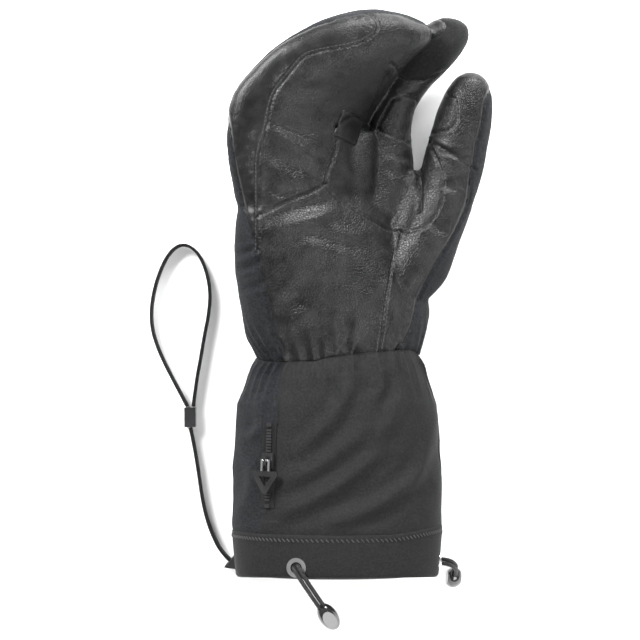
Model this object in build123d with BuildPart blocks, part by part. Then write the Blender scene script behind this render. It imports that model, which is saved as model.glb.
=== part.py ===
"""Right-hand ski glove: a three-finger pocket, a forefinger and a thumb on a padded gauntlet.

+X points to the thumb side, +Y from the cuff opening to the fingertips and +Z out of the palm.
The origin is the centre of the cuff opening. The glove lies on its back, on a surface at
z = -cuff_half_height. All sizes are in millimetres and all angles in degrees.
"""

import os
from math import acos, cos, degrees, radians, sin, tan

from build123d import *

# ---- overall sizes -------------------------------------------------------------------------
cuff_length = 130.0  # cuff opening to wrist crease
cuff_half_width = 62.0
cuff_half_height = 31.5
wrist_half_width, wrist_half_thick = 49.0, 26.5
hand_scale = 1.0  # the hand and fingers grow by this about the wrist
hem_height = 28.0

# ---- layers of the wall, from the outside in -------------------------------------------------
shell_wall = 1.4  # leather or woven shell
padding_wall = 3.2  # insulation with the waterproof film on it
lining_wall = 0.8
wall = shell_wall + padding_wall + lining_wall
patch_wall = 0.9  # patches sewn on top of the shell
joint_clearance = 0.3  # between the faces of two parts that turn past each other

# ---- drawcord, eyelets and cord ends -----------------------------------------------------------
cord_diameter = 2.5
channel_low, channel_high = 5.0, 14.0  # the drawcord channel in the hem
eyelet_height = 9.5
front_eyelet_x = -24.0
side_eyelet_turn = -3.0
eyelet_bore_radius = 3.4
eyelet_barrel_wall = 0.4
eyelet_flange_width = 2.0
eyelet_flange = 0.7
cord_end_length, cord_end_half_width, cord_end_half_height = 16.5, 5.6, 4.2
cord_end_grip = 4.0  # depth of the strands in the cord end
strand_pitch = cord_diameter + 0.2
seat_clearance = 0.05  # between a strand and its hole
elastic_width, elastic_wall, elastic_inset = 9.0, 1.2, 2.0

# ---- zip -------------------------------------------------------------------------------------
zip_x = -40.5
zip_low, zip_high = 44.0, 94.0
zip_tape_width, zip_tape_wall = 9.0, 0.6
tooth_width, tooth_height, tooth_length, tooth_pitch = 3.0, 0.9, 1.0, 1.7
stop_length = 2.4
slider_y = 72.0
slider_length, slider_width, slider_plate = 9.0, 7.2, 0.8
slider_clearance = 0.8  # over the tape and teeth, which bow a little along the zip
bridge_height, bridge_wall, bridge_length = 3.4, 0.9, 5.0
link_wire, link_width, link_length = 1.2, 5.6, 8.0
tab_width, tab_length, tab_wall, tab_strip, tab_round = 19.0, 15.0, 1.4, 4.2, 2.0
tab_lift = 1.6

# ---- leash -----------------------------------------------------------------------------------
webbing_width, webbing_wall = 8.0, 1.8
keeper_width, keeper_gap = 7.0, 0.5
anchor_low, anchor_high, anchor_wall, anchor_top = 2.5, 10.5, 3.0, -13.0

# ---- patches ---------------------------------------------------------------------------------
thenar_seam = [(37.0, 206.0), (25.0, 130.0)]  # top and bottom of the seam beside the thumb
crotch_outline = [(-6, 229), (1, 220), (16, 213), (32, 206), (46, 207), (57, 216),
                  (63, 230), (62, 246), (56, 262), (30, 262), (4, 262)]
knuckle_pad_place, knuckle_pad_half = (31, 284, 0), (9.0, 8.0)
thumb_patch_place, thumb_patch_half = (65, 276, 0), (7.5, 11.0)
crotch_tab_place, crotch_tab_size = (3, 262, 0), (13.0, 14.0)

floor = -cuff_half_height


def unit(x, y, z):
    """A direction of length one."""
    return Vector(x, y, z).normalized()


# ---- stations: centre, direction across, palm direction, half width, half thickness ------------
drawn_wrist = (0.0, 130.0, 1.0)  # the hand's stations are drawn for a wrist here
wrist_shift = Vector(0, cuff_length - drawn_wrist[1], 0)


def station(centre, across, palm, half_width, half_thick):
    """One elliptical cross-section; the palm direction is squared up to the one across."""
    w = unit(*across)
    n = Vector(*palm)
    n = (n - w * n.dot(w)).normalized()
    return {"centre": Vector(*centre), "w": w, "n": n, "a": half_width, "b": half_thick}


def rolled(x, y, z, roll, half_width, half_thick):
    """A station square to the arm, rolled about Y towards the thumb side."""
    c, s = cos(radians(roll)), sin(radians(roll))
    return station((x, y, z), (c, 0, -s), (s, 0, c), half_width, half_thick)


def on_hand(s):
    """The same station, scaled about the drawn wrist and moved to the real one."""
    start = Vector(*drawn_wrist)
    s["centre"] = start + (s["centre"] - start) * hand_scale + wrist_shift
    s["a"] *= hand_scale
    s["b"] *= hand_scale
    return s


# share of the length, height of the centre, share of the half width and of the half height
cuff_shares = [
    (0.0, 0.0, 0.975, 1.0),
    (0.22, 0.0, 1.015, 1.0),
    (0.50, 0.0, 1.01, 1.0),
    (0.80, 0.0, 0.965, 0.985),
    (0.93, 0.5, 0.87, 0.93),
]
cuff = [
    rolled(0, cuff_length * y, z, 0, cuff_half_width * a, cuff_half_height * b)
    for y, z, a, b in cuff_shares
]
cuff.append(on_hand(rolled(*drawn_wrist, 0, wrist_half_width, wrist_half_thick)))

hand = [
    on_hand(rolled(*row))
    for row in [
        (*drawn_wrist, 0, wrist_half_width, wrist_half_thick),
        (-1, 143, 2.5, 6, 54, 28),
        (0, 160, 4, 14, 59, 29),
        (-5, 182, 6, 22, 60, 28.5),
        (-10, 206, 8, 30, 59, 26),
        (-12.5, 224, 9, 33, 55, 22),
    ]
]

mitt_rows = [
    ((-20, 198, 13), (0.89, 0, -0.45), (0.45, 0, 0.89), 36, 17),
    ((-24, 224, 16.5), (0.85, 0, -0.53), (0.53, 0, 0.85), 41, 20.5),
    ((-27, 250, 18), (0.82, -0.04, -0.57), (0.57, -0.05, 0.82), 41.5, 20.5),
    ((-26, 278, 20), (0.78, -0.12, -0.61), (0.57, -0.35, 0.75), 41, 20),
    ((-14, 300, 22.5), (0.72, -0.25, -0.63), (0.40, -0.62, 0.67), 39, 19.5),
    ((3, 313, 25), (0.72, -0.25, -0.63), (0.28, -0.75, 0.60), 35.5, 18.5),
    ((22, 321, 27), (0.76, -0.18, -0.62), (0.22, -0.80, 0.56), 31, 17),
    ((37, 325, 28), (0.80, -0.12, -0.59), (0.22, -0.80, 0.56), 24, 13),
    ((46, 327, 28.5), (0.80, -0.12, -0.59), (0.22, -0.80, 0.56), 13, 7.5),
]
index_rows = [
    ((10, 196, -8), (0.85, 0, -0.53), (0.53, 0, 0.85), 12, 12),
    ((24, 224, -13.5), (0.85, -0.1, -0.5), (0.5, -0.1, 0.85), 15, 15),
    ((30, 250, -15), (0.84, -0.1, -0.5), (0.5, -0.15, 0.85), 15, 15),
    ((31.5, 271, -14.5), (0.83, -0.2, -0.5), (0.45, -0.25, 0.85), 14.3, 14.3),
    ((36, 288, -13), (0.75, -0.45, -0.5), (0.4, -0.3, 0.85), 14.2, 14.0),
    ((45, 302, -10.5), (0.7, -0.5, -0.5), (0.35, -0.35, 0.85), 14.0, 13.5),
    ((59, 316, -6), (0.7, -0.5, -0.5), (0.35, -0.35, 0.85), 13.4, 12.8),
    ((67, 323, -4), (0.7, -0.5, -0.5), (0.35, -0.35, 0.85), 12.0, 11.2),
    ((73, 328, -2.5), (0.7, -0.5, -0.5), (0.35, -0.35, 0.85), 8.0, 7.4),
    ((75.5, 330, -2), (0.7, -0.5, -0.5), (0.35, -0.35, 0.85), 3.8, 3.4),
]
thumb_rows = [
    ((20, 156, -1), (0.8, -0.5, -0.2), (0.2, -0.05, 0.95), 17, 14),
    ((44, 184, -5), (0.86, -0.45, -0.15), (0.15, -0.05, 0.98), 22, 20),
    ((57, 210, -8), (0.9, -0.35, -0.15), (0.15, 0, 0.98), 20.5, 19.5),
    ((67, 236, -9), (0.94, -0.25, -0.15), (0.15, 0, 0.98), 19.5, 18.5),
    ((72, 262, -8), (0.97, -0.15, -0.15), (0.1, -0.05, 0.98), 18.8, 17.5),
    ((75.5, 284, -6), (0.98, -0.1, -0.15), (0.1, -0.1, 0.98), 16.2, 15.0),
    ((76.5, 297, -4.5), (0.98, -0.1, -0.15), (0.1, -0.1, 0.98), 10.5, 9.8),
    ((76.5, 301.5, -4), (0.98, -0.1, -0.15), (0.1, -0.1, 0.98), 5.0, 4.7),
]
fingers = {
    "mitt": [on_hand(station(*row)) for row in mitt_rows],
    "index": [on_hand(station(*row)) for row in index_rows],
    "thumb": [on_hand(station(*row)) for row in thumb_rows],
}

# The pocket and the forefinger share one hinge at the knuckles, because a gusset joins them there.
gusset_rows = [
    ((-2, 215, 2), (0.8, 0, -0.6), (0.6, 0, 0.8), 20, 12),
    ((4, 240, 2), (0.8, 0, -0.6), (0.6, 0, 0.8), 18, 11),
    ((11, 258, 2), (0.8, 0, -0.6), (0.6, 0, 0.8), 12, 9),
    ((16, 269, 2), (0.8, 0, -0.6), (0.6, 0, 0.8), 6, 5),
]
gusset = [on_hand(station(*row)) for row in gusset_rows]

# ---- joints: station before the hinge, share of the way to the next, flexion and extension ------
knuckle_place = (0.5, 231.8, 1.5)
knuckle_flexion, knuckle_extension = 3, 15
joints = {
    "mitt": [(1, 0.30, knuckle_flexion, knuckle_extension), (3, 0.05, 20, 25)],
    "index": [(1, 0.30, knuckle_flexion, knuckle_extension), (4, 0.0, 4, 20)],
    "thumb": [(2, 0.10, 15, 8), (3, 0.60, 20, 12)],
}
hinge_across = {
    "mitt": unit(0.80, -0.10, -0.59),
    "index": unit(0.80, -0.10, -0.59),
    "thumb": unit(0.92, -0.24, -0.32),
}
knuckle_across = unit(0.853, 0, -0.522)
wrist_flexion, wrist_extension = 25, 20

# ---- cords: points of each route, chosen where the cord lies -------------------------------------
front_cord_route = [(-24.7, 10.4, 28.0), (-24.0, 9.2, 31.4), (-21.0, 4.6, 33.0),
                    (-16.5, -2.4, 31.6), (-11.6, -10.0, 28.9), (-7.3, -16.7, 25.2)]
front_cord_beside = (0.84, 0.54, 0.0)  # from one strand to the other
side_cord_route = [(59.0, 9.5, -1.5), (63.5, 9.4, -1.1), (68.6, 8.2, -1.8), (72.0, 5.2, -6.2),
                   (72.4, 2.2, -12.6), (72.0, -1.6, -19.6)]
side_cord_beside = (0.0, 0.88, -0.47)
tail_route = [(-65.5, 6.5), (-70.5, 11), (-75.5, 20), (-80, 32), (-83, 46), (-85, 61),
              (-87.3, 75), (-89.9, 88)]
loop_route = [(-91.8, 101), (-97, 111), (-104, 124), (-110.5, 138), (-114.3, 152),
              (-113.4, 168), (-109, 184), (-102.5, 196.5), (-94.5, 201.5), (-86, 197),
              (-80.5, 186), (-77.6, 172), (-78.6, 158), (-81.5, 144), (-83.8, 130),
              (-86.4, 116), (-88.2, 101)]


def tube(stations, inset=0.0, tip_closed=True):
    """The solid through elliptical stations, made smaller all round by inset."""
    smallest = 2.0 - 0.25 * inset  # so that one layer's blunt tip always lies inside the next
    with BuildPart() as made:
        for i, s in enumerate(stations):
            forward = s["n"].cross(s["w"])
            last = tip_closed and i == len(stations) - 1
            centre = s["centre"] - forward * (inset if last else 0)
            with BuildSketch(Plane(origin=centre, x_dir=s["w"], z_dir=forward)):
                Ellipse(max(s["a"] - inset, smallest), max(s["b"] - inset, 0.8 * smallest))
        loft(ruled=True)
    return made.part


def hand_place(x, y, z=0):
    """A point drawn on the hand, carried to where the scaled hand has it."""
    start = Vector(*drawn_wrist)
    moved = start + (Vector(x, y, z) - start) * hand_scale + wrist_shift
    return (moved.X, moved.Y, moved.Z)


def hinge(finger, number):
    """Centre, forward and palm direction of one finger joint."""
    if number == 0 and finger != "thumb":
        forward = Vector(0, 1, 0)
        return Vector(*hand_place(*knuckle_place)), forward, knuckle_across.cross(forward)
    before, share, _, _ = joints[finger][number]
    low, high = fingers[finger][before], fingers[finger][before + 1]
    centre = low["centre"] + (high["centre"] - low["centre"]) * share
    across = hinge_across[finger]
    forward = low["n"].cross(low["w"]) * (1 - share) + high["n"].cross(high["w"]) * share
    forward = (forward - across * forward.dot(across)).normalized()
    return centre, forward, across.cross(forward)


def cut(solid, centre, normal):
    """What is left of a solid on the side of a plane that its normal points to."""
    with BuildPart() as made:
        add(solid)
        split(bisect_by=Plane(origin=centre, z_dir=normal), keep=Keep.TOP)
    return made.part


def before_joint(solid, centre, forward):
    """The near side of a joint, less half the running clearance."""
    return cut(solid, centre - forward * joint_clearance / 2, -forward)


def after_joint(solid, centre, forward, palm, flexion, extension):
    """The far side of a joint, cut back to a V about the hinge line so that it can bend."""
    start = centre + forward * joint_clearance / 2
    for angle, side in ((flexion, palm), (extension, -palm)):
        slope = forward * cos(radians(angle)) - side * sin(radians(angle))
        solid = cut(solid, start, slope)
    return solid


def combined(whole, others, mode):
    """A solid joined with others, less them, or what they have in common."""
    with BuildPart() as made:
        add(whole)
        for other in others:
            add(other, mode=mode)
    return made.part


def less(whole, *others):
    """A solid less others."""
    return combined(whole, others, Mode.SUBTRACT)


def common(whole, *others):
    """What a solid has in common with others."""
    return combined(whole, others, Mode.INTERSECT)


def parted(solid, s, direction, share):
    """A solid cut in two by a plane square to one direction of a station: beyond it, before it."""
    reach = s["a"] if direction == "w" else s["b"]
    origin = s["centre"] + s[direction] * reach * share
    return cut(solid, origin, s[direction]), cut(solid, origin, -s[direction])


def save(part, name):
    """Writes one finished piece under its own name."""
    part.label = name
    export_step(part, f"parts/{name}.step")
    print(name, round(part.volume, 1), "mm3 in", len(part.solids()), "solids")


# ---- fingers ---------------------------------------------------------------------------------
def finger_solid(finger, inset, piece):
    """One stretch of a finger: its stub in the hand, its base or its tip."""
    solid = tube(fingers[finger], inset)
    knuckle, middle = hinge(finger, 0), hinge(finger, 1)
    if piece == "stub":
        return before_joint(solid, *knuckle[:2])
    if piece == "base":
        solid = before_joint(solid, *middle[:2])
        return after_joint(solid, *knuckle, *joints[finger][0][2:])
    return after_joint(solid, *middle, *joints[finger][1][2:])


def finger_layers(finger, piece, raised=0.0):
    """The shell, the padding and the lining of one stretch of a finger."""
    edges = [-raised, 0.0] if raised else [0.0, shell_wall, shell_wall + padding_wall, wall]
    solids = [finger_solid(finger, inset, piece) for inset in edges]
    return [less(outer, inner) for outer, inner in zip(solids, solids[1:])]


def liner(padding, lining):
    """Padding and lining of a finger, sewn together at its tip: two solids of one piece."""
    return Compound(children=[*padding.solids(), *lining.solids()])


def upright(place, outline, turn=0.0):
    """A tall upright prism for a patch, of an outline drawn about its place."""
    x, y, _ = place
    tall = 200
    with BuildPart() as made:
        with BuildSketch(Plane.XY.offset(-tall / 2)):
            with Locations(Location((x, y, 0), (0, 0, turn))):
                if len(outline) > 2:
                    Polygon(*outline, align=None)
                else:
                    Ellipse(*outline)
        extrude(amount=tall)
    return made.part


def make_mitt():
    """The three-finger pocket: leather palm, woven back and the leather strip on its side."""
    strip_share = -0.55
    middles = {"base": (2, 0.05), "tip": (5, 0.3)}
    for piece, (number, palm_share) in middles.items():
        middle = fingers["mitt"][number]
        shell, padding, lining = finger_layers("mitt", piece)
        rest, strip = parted(shell, middle, "w", strip_share)
        palm, back = parted(rest, middle, "n", palm_share)
        save(palm, f"mitt_{piece}_palm")
        save(back, f"mitt_{piece}_back")
        save(strip, f"mitt_{piece}_strip")
        save(liner(padding, lining), f"mitt_{piece}_liner")
    width, length = crotch_tab_size
    corners = [(-width / 2, -length / 2), (width / 2, -length / 2),
               (width / 2, length / 2), (-width / 2, length / 2)]
    (raised,) = finger_layers("mitt", "base", raised=patch_wall)
    raised, _ = parted(raised, fingers["mitt"][2], "n", 0.05)
    prism = upright(hand_place(*crotch_tab_place), corners, 20)
    tab = common(raised, prism)
    save(tab, "crotch_tab")
    return tab


def make_gusset(tab):
    """The padded gusset that joins the pocket and the forefinger, notched for the tab on it."""
    solid = before_joint(tube(gusset), *hinge("mitt", 1)[:2])
    solid = after_joint(solid, *hinge("mitt", 0), knuckle_flexion, knuckle_extension)
    neighbours = [finger_solid(finger, -seat_clearance, "base") for finger in ("mitt", "index")]
    save(less(solid, *neighbours, tab), "finger_gusset")


def make_index():
    """The forefinger, with a woven cap on its pad and a textured pad at its knuckle."""
    cap_start = fingers["index"][6]
    cap_forward = cap_start["n"].cross(cap_start["w"])
    for piece, number in (("base", 2), ("tip", 6)):
        shell, padding, lining = finger_layers("index", piece)
        palm, back = parted(shell, fingers["index"][number], "n", 0.05)
        save(back, f"index_{piece}_back")
        save(liner(padding, lining), f"index_{piece}_liner")
        if piece == "tip":
            save(cut(palm, cap_start["centre"], cap_forward), "index_tip_cap")
            palm = cut(palm, cap_start["centre"], -cap_forward)
        save(palm, f"index_{piece}_palm")
    (raised,) = finger_layers("index", "base", raised=patch_wall)
    raised, _ = parted(raised, fingers["index"][3], "n", 0.05)
    prism = upright(hand_place(*knuckle_pad_place), knuckle_pad_half, 20)
    save(common(raised, prism), "knuckle_pad")


def make_thumb():
    """The thumb, with a D-shaped patch on the side of its pad."""
    for piece, number in (("base", 3), ("tip", 5)):
        shell, padding, lining = finger_layers("thumb", piece)
        palm, back = parted(shell, fingers["thumb"][number], "n", 0.05)
        save(palm, f"thumb_{piece}_palm")
        save(back, f"thumb_{piece}_back")
        save(liner(padding, lining), f"thumb_{piece}_liner")
    (raised,) = finger_layers("thumb", "tip", raised=patch_wall)
    raised, _ = parted(raised, fingers["thumb"][5], "n", 0.05)
    prism = upright(hand_place(*thumb_patch_place), thumb_patch_half, -15)
    save(common(raised, prism), "thumb_patch")


# ---- hand ------------------------------------------------------------------------------------
def hand_solid(inset):
    """The hand with the stubs of its fingers, cut to a V at the wrist."""
    stubs = [finger_solid(finger, inset, "stub") for finger in fingers]
    whole = combined(tube(hand, inset), stubs, Mode.ADD)
    axis_centre = hand[0]["centre"]
    return after_joint(whole, axis_centre, Vector(0, 1, 0), Vector(0, 0, 1),
                       wrist_flexion, wrist_extension)


def make_hand():
    """The hand: leather palm and thumb base, the patch in the crotch and the woven back."""
    solids = [hand_solid(inset) for inset in (0.0, shell_wall, shell_wall + padding_wall, wall)]
    shell, padding, lining = [less(outer, inner) for outer, inner in zip(solids, solids[1:])]
    outline = [hand_place(x, y)[:2] for x, y in crotch_outline]
    crotch_mask = upright((0, 0, 0), outline)
    front, back = parted(shell, hand[3], "n", 0.05)
    save(common(front, crotch_mask), "crotch_patch")
    front = less(front, crotch_mask)
    top, bottom = [Vector(*hand_place(x, y)) for x, y in thenar_seam]
    along = top - bottom
    to_thumb = Vector(along.Y, -along.X, 0)
    save(cut(front, bottom, to_thumb), "thenar_leather")
    save(cut(front, bottom, -to_thumb), "palm_leather")
    back, side = parted(back, hand[3], "w", -0.62)
    save(side, "hand_side_panel")
    save(back, "hand_back_panel")
    save(padding, "hand_padding")
    save(lining, "hand_lining")


# ---- gauntlet --------------------------------------------------------------------------------
def cuff_size(y):
    """Half width, half height and centre height of the cuff at one distance from its opening."""
    for low, high in zip(cuff, cuff[1:]):
        if low["centre"].Y <= y <= high["centre"].Y:
            share = (y - low["centre"].Y) / (high["centre"].Y - low["centre"].Y)
            values = [(low[key], high[key]) for key in ("a", "b")]
            values.append((low["centre"].Z, high["centre"].Z))
            return [first + (second - first) * share for first, second in values]
    raise ValueError(y)


def on_cuff(y, turn, lift=0.0):
    """A point on the cuff, at an angle about Y from the thumb side up, and the way out there."""
    a, b, z = cuff_size(y)
    out = unit(cos(radians(turn)) / a, 0, sin(radians(turn)) / b)
    return Vector(a * cos(radians(turn)), y, z + b * sin(radians(turn))) + out * lift, out


def turn_at(x, y):
    """The angle about Y of the point on the front of the cuff that has this x."""
    return degrees(acos(x / cuff_size(y)[0]))


def round_bar(start, way, radius, low, high):
    """A round bar along one direction, from low to high of its start."""
    with BuildPart() as made:
        with BuildSketch(Plane(origin=start + way * low, z_dir=way)):
            Circle(radius)
        extrude(amount=high - low)
    return made.part


def block(place, width, length, low, high):
    """A block on a plane, from low to high above it."""
    with BuildPart() as made:
        with BuildSketch(place.offset(low)):
            Rectangle(width, length)
        extrude(amount=high - low)
    return made.part


def make_eyelet(name, centre, out, outer, band_of_hem):
    """A metal eyelet seated on the hem; gives back the hem with the hole for it."""
    barrel_radius = eyelet_bore_radius + eyelet_barrel_wall
    flange_radius = barrel_radius + eyelet_flange_width
    depth = shell_wall + 0.4
    flange = less(round_bar(centre, out, flange_radius, -depth, eyelet_flange), outer)
    barrel = round_bar(centre, out, barrel_radius, -depth, eyelet_flange)
    bore = round_bar(centre, out, eyelet_bore_radius, -2 * depth, 2 * depth)
    save(less(combined(flange, [barrel], Mode.ADD), bore), name)
    return less(band_of_hem, round_bar(centre, out, barrel_radius, -4 * depth, 4 * depth))


def make_cuff():
    """The gauntlet: three woven panels, hem, padding, lining, elastic, eyelets and drawcord."""
    insets = (0.0, shell_wall, shell_wall + padding_wall, wall)
    solids = [tube(cuff, inset, tip_closed=False) for inset in insets]
    shell, padding, lining = [less(outer, inner) for outer, inner in zip(solids, solids[1:])]
    up, side_seam = Vector(0, 1, 0), Vector(zip_x, 0, 0)
    hem_top = Vector(0, hem_height, 0)
    panels, hem_band = cut(shell, hem_top, up), cut(shell, hem_top, -up)
    wide = cut(panels, side_seam, Vector(1, 0, 0))
    save(cut(wide, Vector(0, 0, 0), Vector(0, 0, 1)), "gauntlet_front_panel")
    save(cut(wide, Vector(0, 0, 0), Vector(0, 0, -1)), "gauntlet_back_panel")
    save(cut(panels, side_seam, Vector(-1, 0, 0)), "gauntlet_side_panel")
    save(cut(padding, Vector(0, channel_low, 0), -up), "hem_edge_tape")
    padding = cut(padding, Vector(0, channel_high, 0), up)
    elastic_high = cuff_length - elastic_inset
    room = less(solids[1], tube(cuff, shell_wall + elastic_wall, tip_closed=False))
    elastic = cut(cut(room, Vector(0, elastic_high, 0), -up),
                  Vector(0, elastic_high - elastic_width, 0), up)
    save(elastic, "wrist_elastic")
    save(less(padding, elastic), "gauntlet_padding")
    save(lining, "gauntlet_lining")

    front, front_out = on_cuff(eyelet_height, turn_at(front_eyelet_x, eyelet_height))
    side, side_out = on_cuff(eyelet_height, side_eyelet_turn)
    ring_inset = shell_wall + (padding_wall - cord_diameter) / 2
    ring = less(tube(cuff, ring_inset, False), tube(cuff, ring_inset + cord_diameter, False))
    ring = cut(ring, Vector(0, eyelet_height - cord_diameter / 2, 0), up)
    ring = cut(ring, Vector(0, eyelet_height + cord_diameter / 2, 0), -up)
    way_out = eyelet_bore_radius + cord_diameter
    for name, centre, out in (("front_eyelet", front, front_out), ("side_eyelet", side, side_out)):
        hem_band = make_eyelet(name, centre, out, solids[0], hem_band)
        ring = less(ring, round_bar(centre, out, way_out, -2 * wall, wall))
    save(hem_band, "hem_band")
    save(ring, "drawcord")


# ---- cords -----------------------------------------------------------------------------------
def arc_radii(points):
    """The largest arc that the two runs beside each corner allow."""
    radii = []
    for before, here, after in zip(points, points[1:], points[2:]):
        one, two = here - before, after - here
        turn = radians(one.get_angle(two))
        radii.append(0.45 * min(one.length, two.length) / tan(turn / 2))
    return radii


def cord(name, points, section):
    """A cord of a round or flat section along straight runs joined by arcs."""
    radii = arc_radii(points)
    with BuildPart() as made:
        with BuildLine() as line:
            FilletPolyline(*points, radius=radii)
        route = line.wire()
        start, way = route @ 0, route % 0
        level = Vector(0, 0, 1).cross(way)
        with BuildSketch(Plane(origin=start, x_dir=level, z_dir=way)) as face:
            if len(section) == 1:
                Circle(section[0] / 2)
            else:
                Rectangle(*section)
        sweep(path=route)
    expected = route.length * face.sketch.area
    print(name, "length", round(route.length, 1), "radii", [round(r, 1) for r in radii])
    print(name, "volume", round(made.part.volume, 1), "of", round(expected, 1))
    save(made.part, name)
    return route


def make_cord_end(name, centre, way, beside):
    """An egg-shaped cord end with a hole for each strand."""
    level = (beside - way * beside.dot(way)).normalized()
    mouth = centre - way * cord_end_grip
    place = Plane(origin=mouth, x_dir=way, z_dir=way.cross(level))
    half = cord_end_length / 2
    blunt = 1.3  # the mouth is cut off flat where the strands go in
    with BuildPart() as made:
        with BuildSketch(place):
            with BuildLine():
                EllipticalCenterArc((half, 0), half + blunt, cord_end_half_width, arc_size=180)
                Line((-blunt, 0), (cord_end_length + blunt, 0))
            make_face()
        revolve(axis=Axis(mouth, way))
    egg = cut(made.part, mouth, way)
    holes = []
    for side in (-0.5, 0.5):
        start = mouth + beside * side * strand_pitch
        radius = cord_diameter / 2 + seat_clearance
        holes.append(round_bar(start, way, radius, -cord_end_grip, cord_end_grip + seat_clearance))
    limit = block(place, 4 * cord_end_length, 4 * cord_end_half_width,
                  -cord_end_half_height, cord_end_half_height)
    save(less(common(egg, limit), *holes), name)


def make_drawcord_pull(name, first, second, route, beside):
    """Two strands side by side from an eyelet to their cord end."""
    points = [Vector(*p) for p in route]
    beside = unit(*beside)
    for strand, side in ((first, -0.5), (second, 0.5)):
        shift = beside * side * strand_pitch
        cord(strand, [p + shift for p in points], (cord_diameter,))
    make_cord_end(name, points[-1], (points[-1] - points[-2]).normalized(), beside)


def make_leash():
    """The leash: an anchor on the hem, the tail, the keeper and the loop, on edge on the floor."""
    middle = floor + webbing_width / 2
    tail = [Vector(x, y, middle) for x, y in tail_route]
    loop = [Vector(x, y, middle) for x, y in loop_route]
    cord("leash_tail", tail, (webbing_wall, webbing_width))
    cord("leash_loop", loop, (webbing_wall, webbing_width))
    keeper_x = (loop[0].X + loop[-1].X) / 2
    keeper_middle = (tail[-1].Y + loop[0].Y) / 2
    keeper_length = loop[0].Y - tail[-1].Y - 2 * keeper_gap
    place = Plane((keeper_x, keeper_middle, floor))
    save(block(place, keeper_width, keeper_length, 0, webbing_width), "leash_keeper")
    with BuildPart() as made:
        with BuildSketch(Plane.XZ.offset(-anchor_high)):
            Polygon((tail[0].X - 6, floor), (tail[0].X + 3, floor), (0, anchor_top - 6),
                    (0, anchor_top + 2), (-cuff_half_width + 5, anchor_top + 2),
                    (tail[0].X - 6, floor + webbing_width), align=None)
        extrude(amount=anchor_high - anchor_low)
    anchor = less(made.part, tube(cuff, 0.0, tip_closed=False))
    anchor = cut(anchor, tail[0], tail[0] - tail[1])
    save(anchor, "leash_anchor")


# ---- zip -------------------------------------------------------------------------------------
def zip_plane(y):
    """A plane on the cuff under the zip: y of the plane runs along the zip."""
    turn = turn_at(zip_x, slider_y)
    low, _ = on_cuff(zip_low, turn)
    high, _ = on_cuff(zip_high, turn)
    along = (high - low).normalized()
    _, out = on_cuff(slider_y, turn)
    centre = low + along * ((y - low.Y) / along.Y)
    across = along.cross(out)
    return Plane(origin=centre, x_dir=across, z_dir=across.cross(along))


def make_zip():
    """The zip: tape, teeth, end stops, slider, link and the strap tab on it."""
    surface = [tube(cuff, -lift, tip_closed=False)
               for lift in (0.0, zip_tape_wall, zip_tape_wall + tooth_height)]
    tape_room, tooth_room = [less(high, low) for low, high in zip(surface, surface[1:])]
    middle = zip_plane((zip_low + zip_high) / 2)
    length = zip_high - zip_low
    deep = 5.0
    save(common(tape_room, block(middle, zip_tape_width, length, -deep, deep)), "zip_tape")
    count = int((length - 2 * stop_length - tooth_pitch) / tooth_pitch)
    with BuildPart() as teeth:
        with BuildSketch(middle.offset(-deep)):
            with GridLocations(0, tooth_pitch, 1, count):
                Rectangle(tooth_width, tooth_length)
        extrude(amount=2 * deep)
    save(common(teeth.part, tooth_room), "zip_teeth")
    with BuildPart() as stops:
        with BuildSketch(middle.offset(-deep)):
            with GridLocations(0, length - stop_length, 1, 2):
                Rectangle(tooth_width, stop_length)
        extrude(amount=2 * deep)
    save(common(stops.part, tooth_room), "zip_stops")

    place = zip_plane(slider_y)
    plate_low = zip_tape_wall + tooth_height + slider_clearance
    plate_high = plate_low + slider_plate
    guide_low = zip_tape_wall + slider_clearance
    groove = tooth_width + 2 * slider_clearance
    bridge_top = plate_high + bridge_height
    body = block(place, slider_width, slider_length, guide_low, plate_high)
    body = less(body, block(place, groove, 2 * slider_length, 0, plate_low))
    bridge = block(place, bridge_wall * 2, bridge_length, plate_high, bridge_top)
    eye_height = plate_high + bridge_height / 2
    eye = place.origin + place.z_dir * eye_height
    hole = round_bar(eye, place.x_dir, link_wire / 2 + joint_clearance, -slider_width, slider_width)
    save(less(combined(body, [bridge], Mode.ADD), hole), "zip_slider")

    lying = Plane(origin=eye, x_dir=place.x_dir, z_dir=place.z_dir)
    half = link_wire / 2
    with BuildPart() as link:
        with BuildSketch(lying.offset(-half)):
            with Locations((0, half - link_length / 2)):
                Rectangle(link_width, link_length)
                Rectangle(link_width - 2 * link_wire, link_length - 2 * link_wire,
                          mode=Mode.SUBTRACT)
        extrude(amount=link_wire)
    rod = block(lying, link_width - 2 * link_wire, link_wire, -half, half)
    pin = round_bar(eye, place.x_dir, half, -link_width / 2, link_width / 2)
    save(combined(less(link.part, rod), [pin], Mode.ADD), "zip_link")

    tab_top = half - link_length + link_wire + seat_clearance
    with BuildPart() as tab:
        with BuildSketch(lying.offset(-tab_wall / 2)):
            with BuildLine():
                Polyline((-tab_width / 2, tab_top), (tab_width / 2, tab_top),
                         (0, tab_top - tab_length), close=True)
            make_face()
            fillet(vertices(), tab_round)
            offset(amount=-tab_strip * 0.75, mode=Mode.SUBTRACT)
        extrude(amount=tab_wall)
    save(less(tab.part, link.part), "zip_pull_tab")


if __name__ == "__main__":
    os.makedirs("parts", exist_ok=True)
    make_cuff()
    make_drawcord_pull("front_cord_end", "front_cord_left", "front_cord_right",
                       front_cord_route, front_cord_beside)
    make_drawcord_pull("side_cord_end", "side_cord_lower", "side_cord_upper",
                       side_cord_route, side_cord_beside)
    make_leash()
    make_zip()
    make_hand()
    make_gusset(make_mitt())
    make_index()
    make_thumb()
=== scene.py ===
import math
import bpy
import numpy as np
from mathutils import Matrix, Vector, noise
from mathutils.bvhtree import BVHTree


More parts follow.
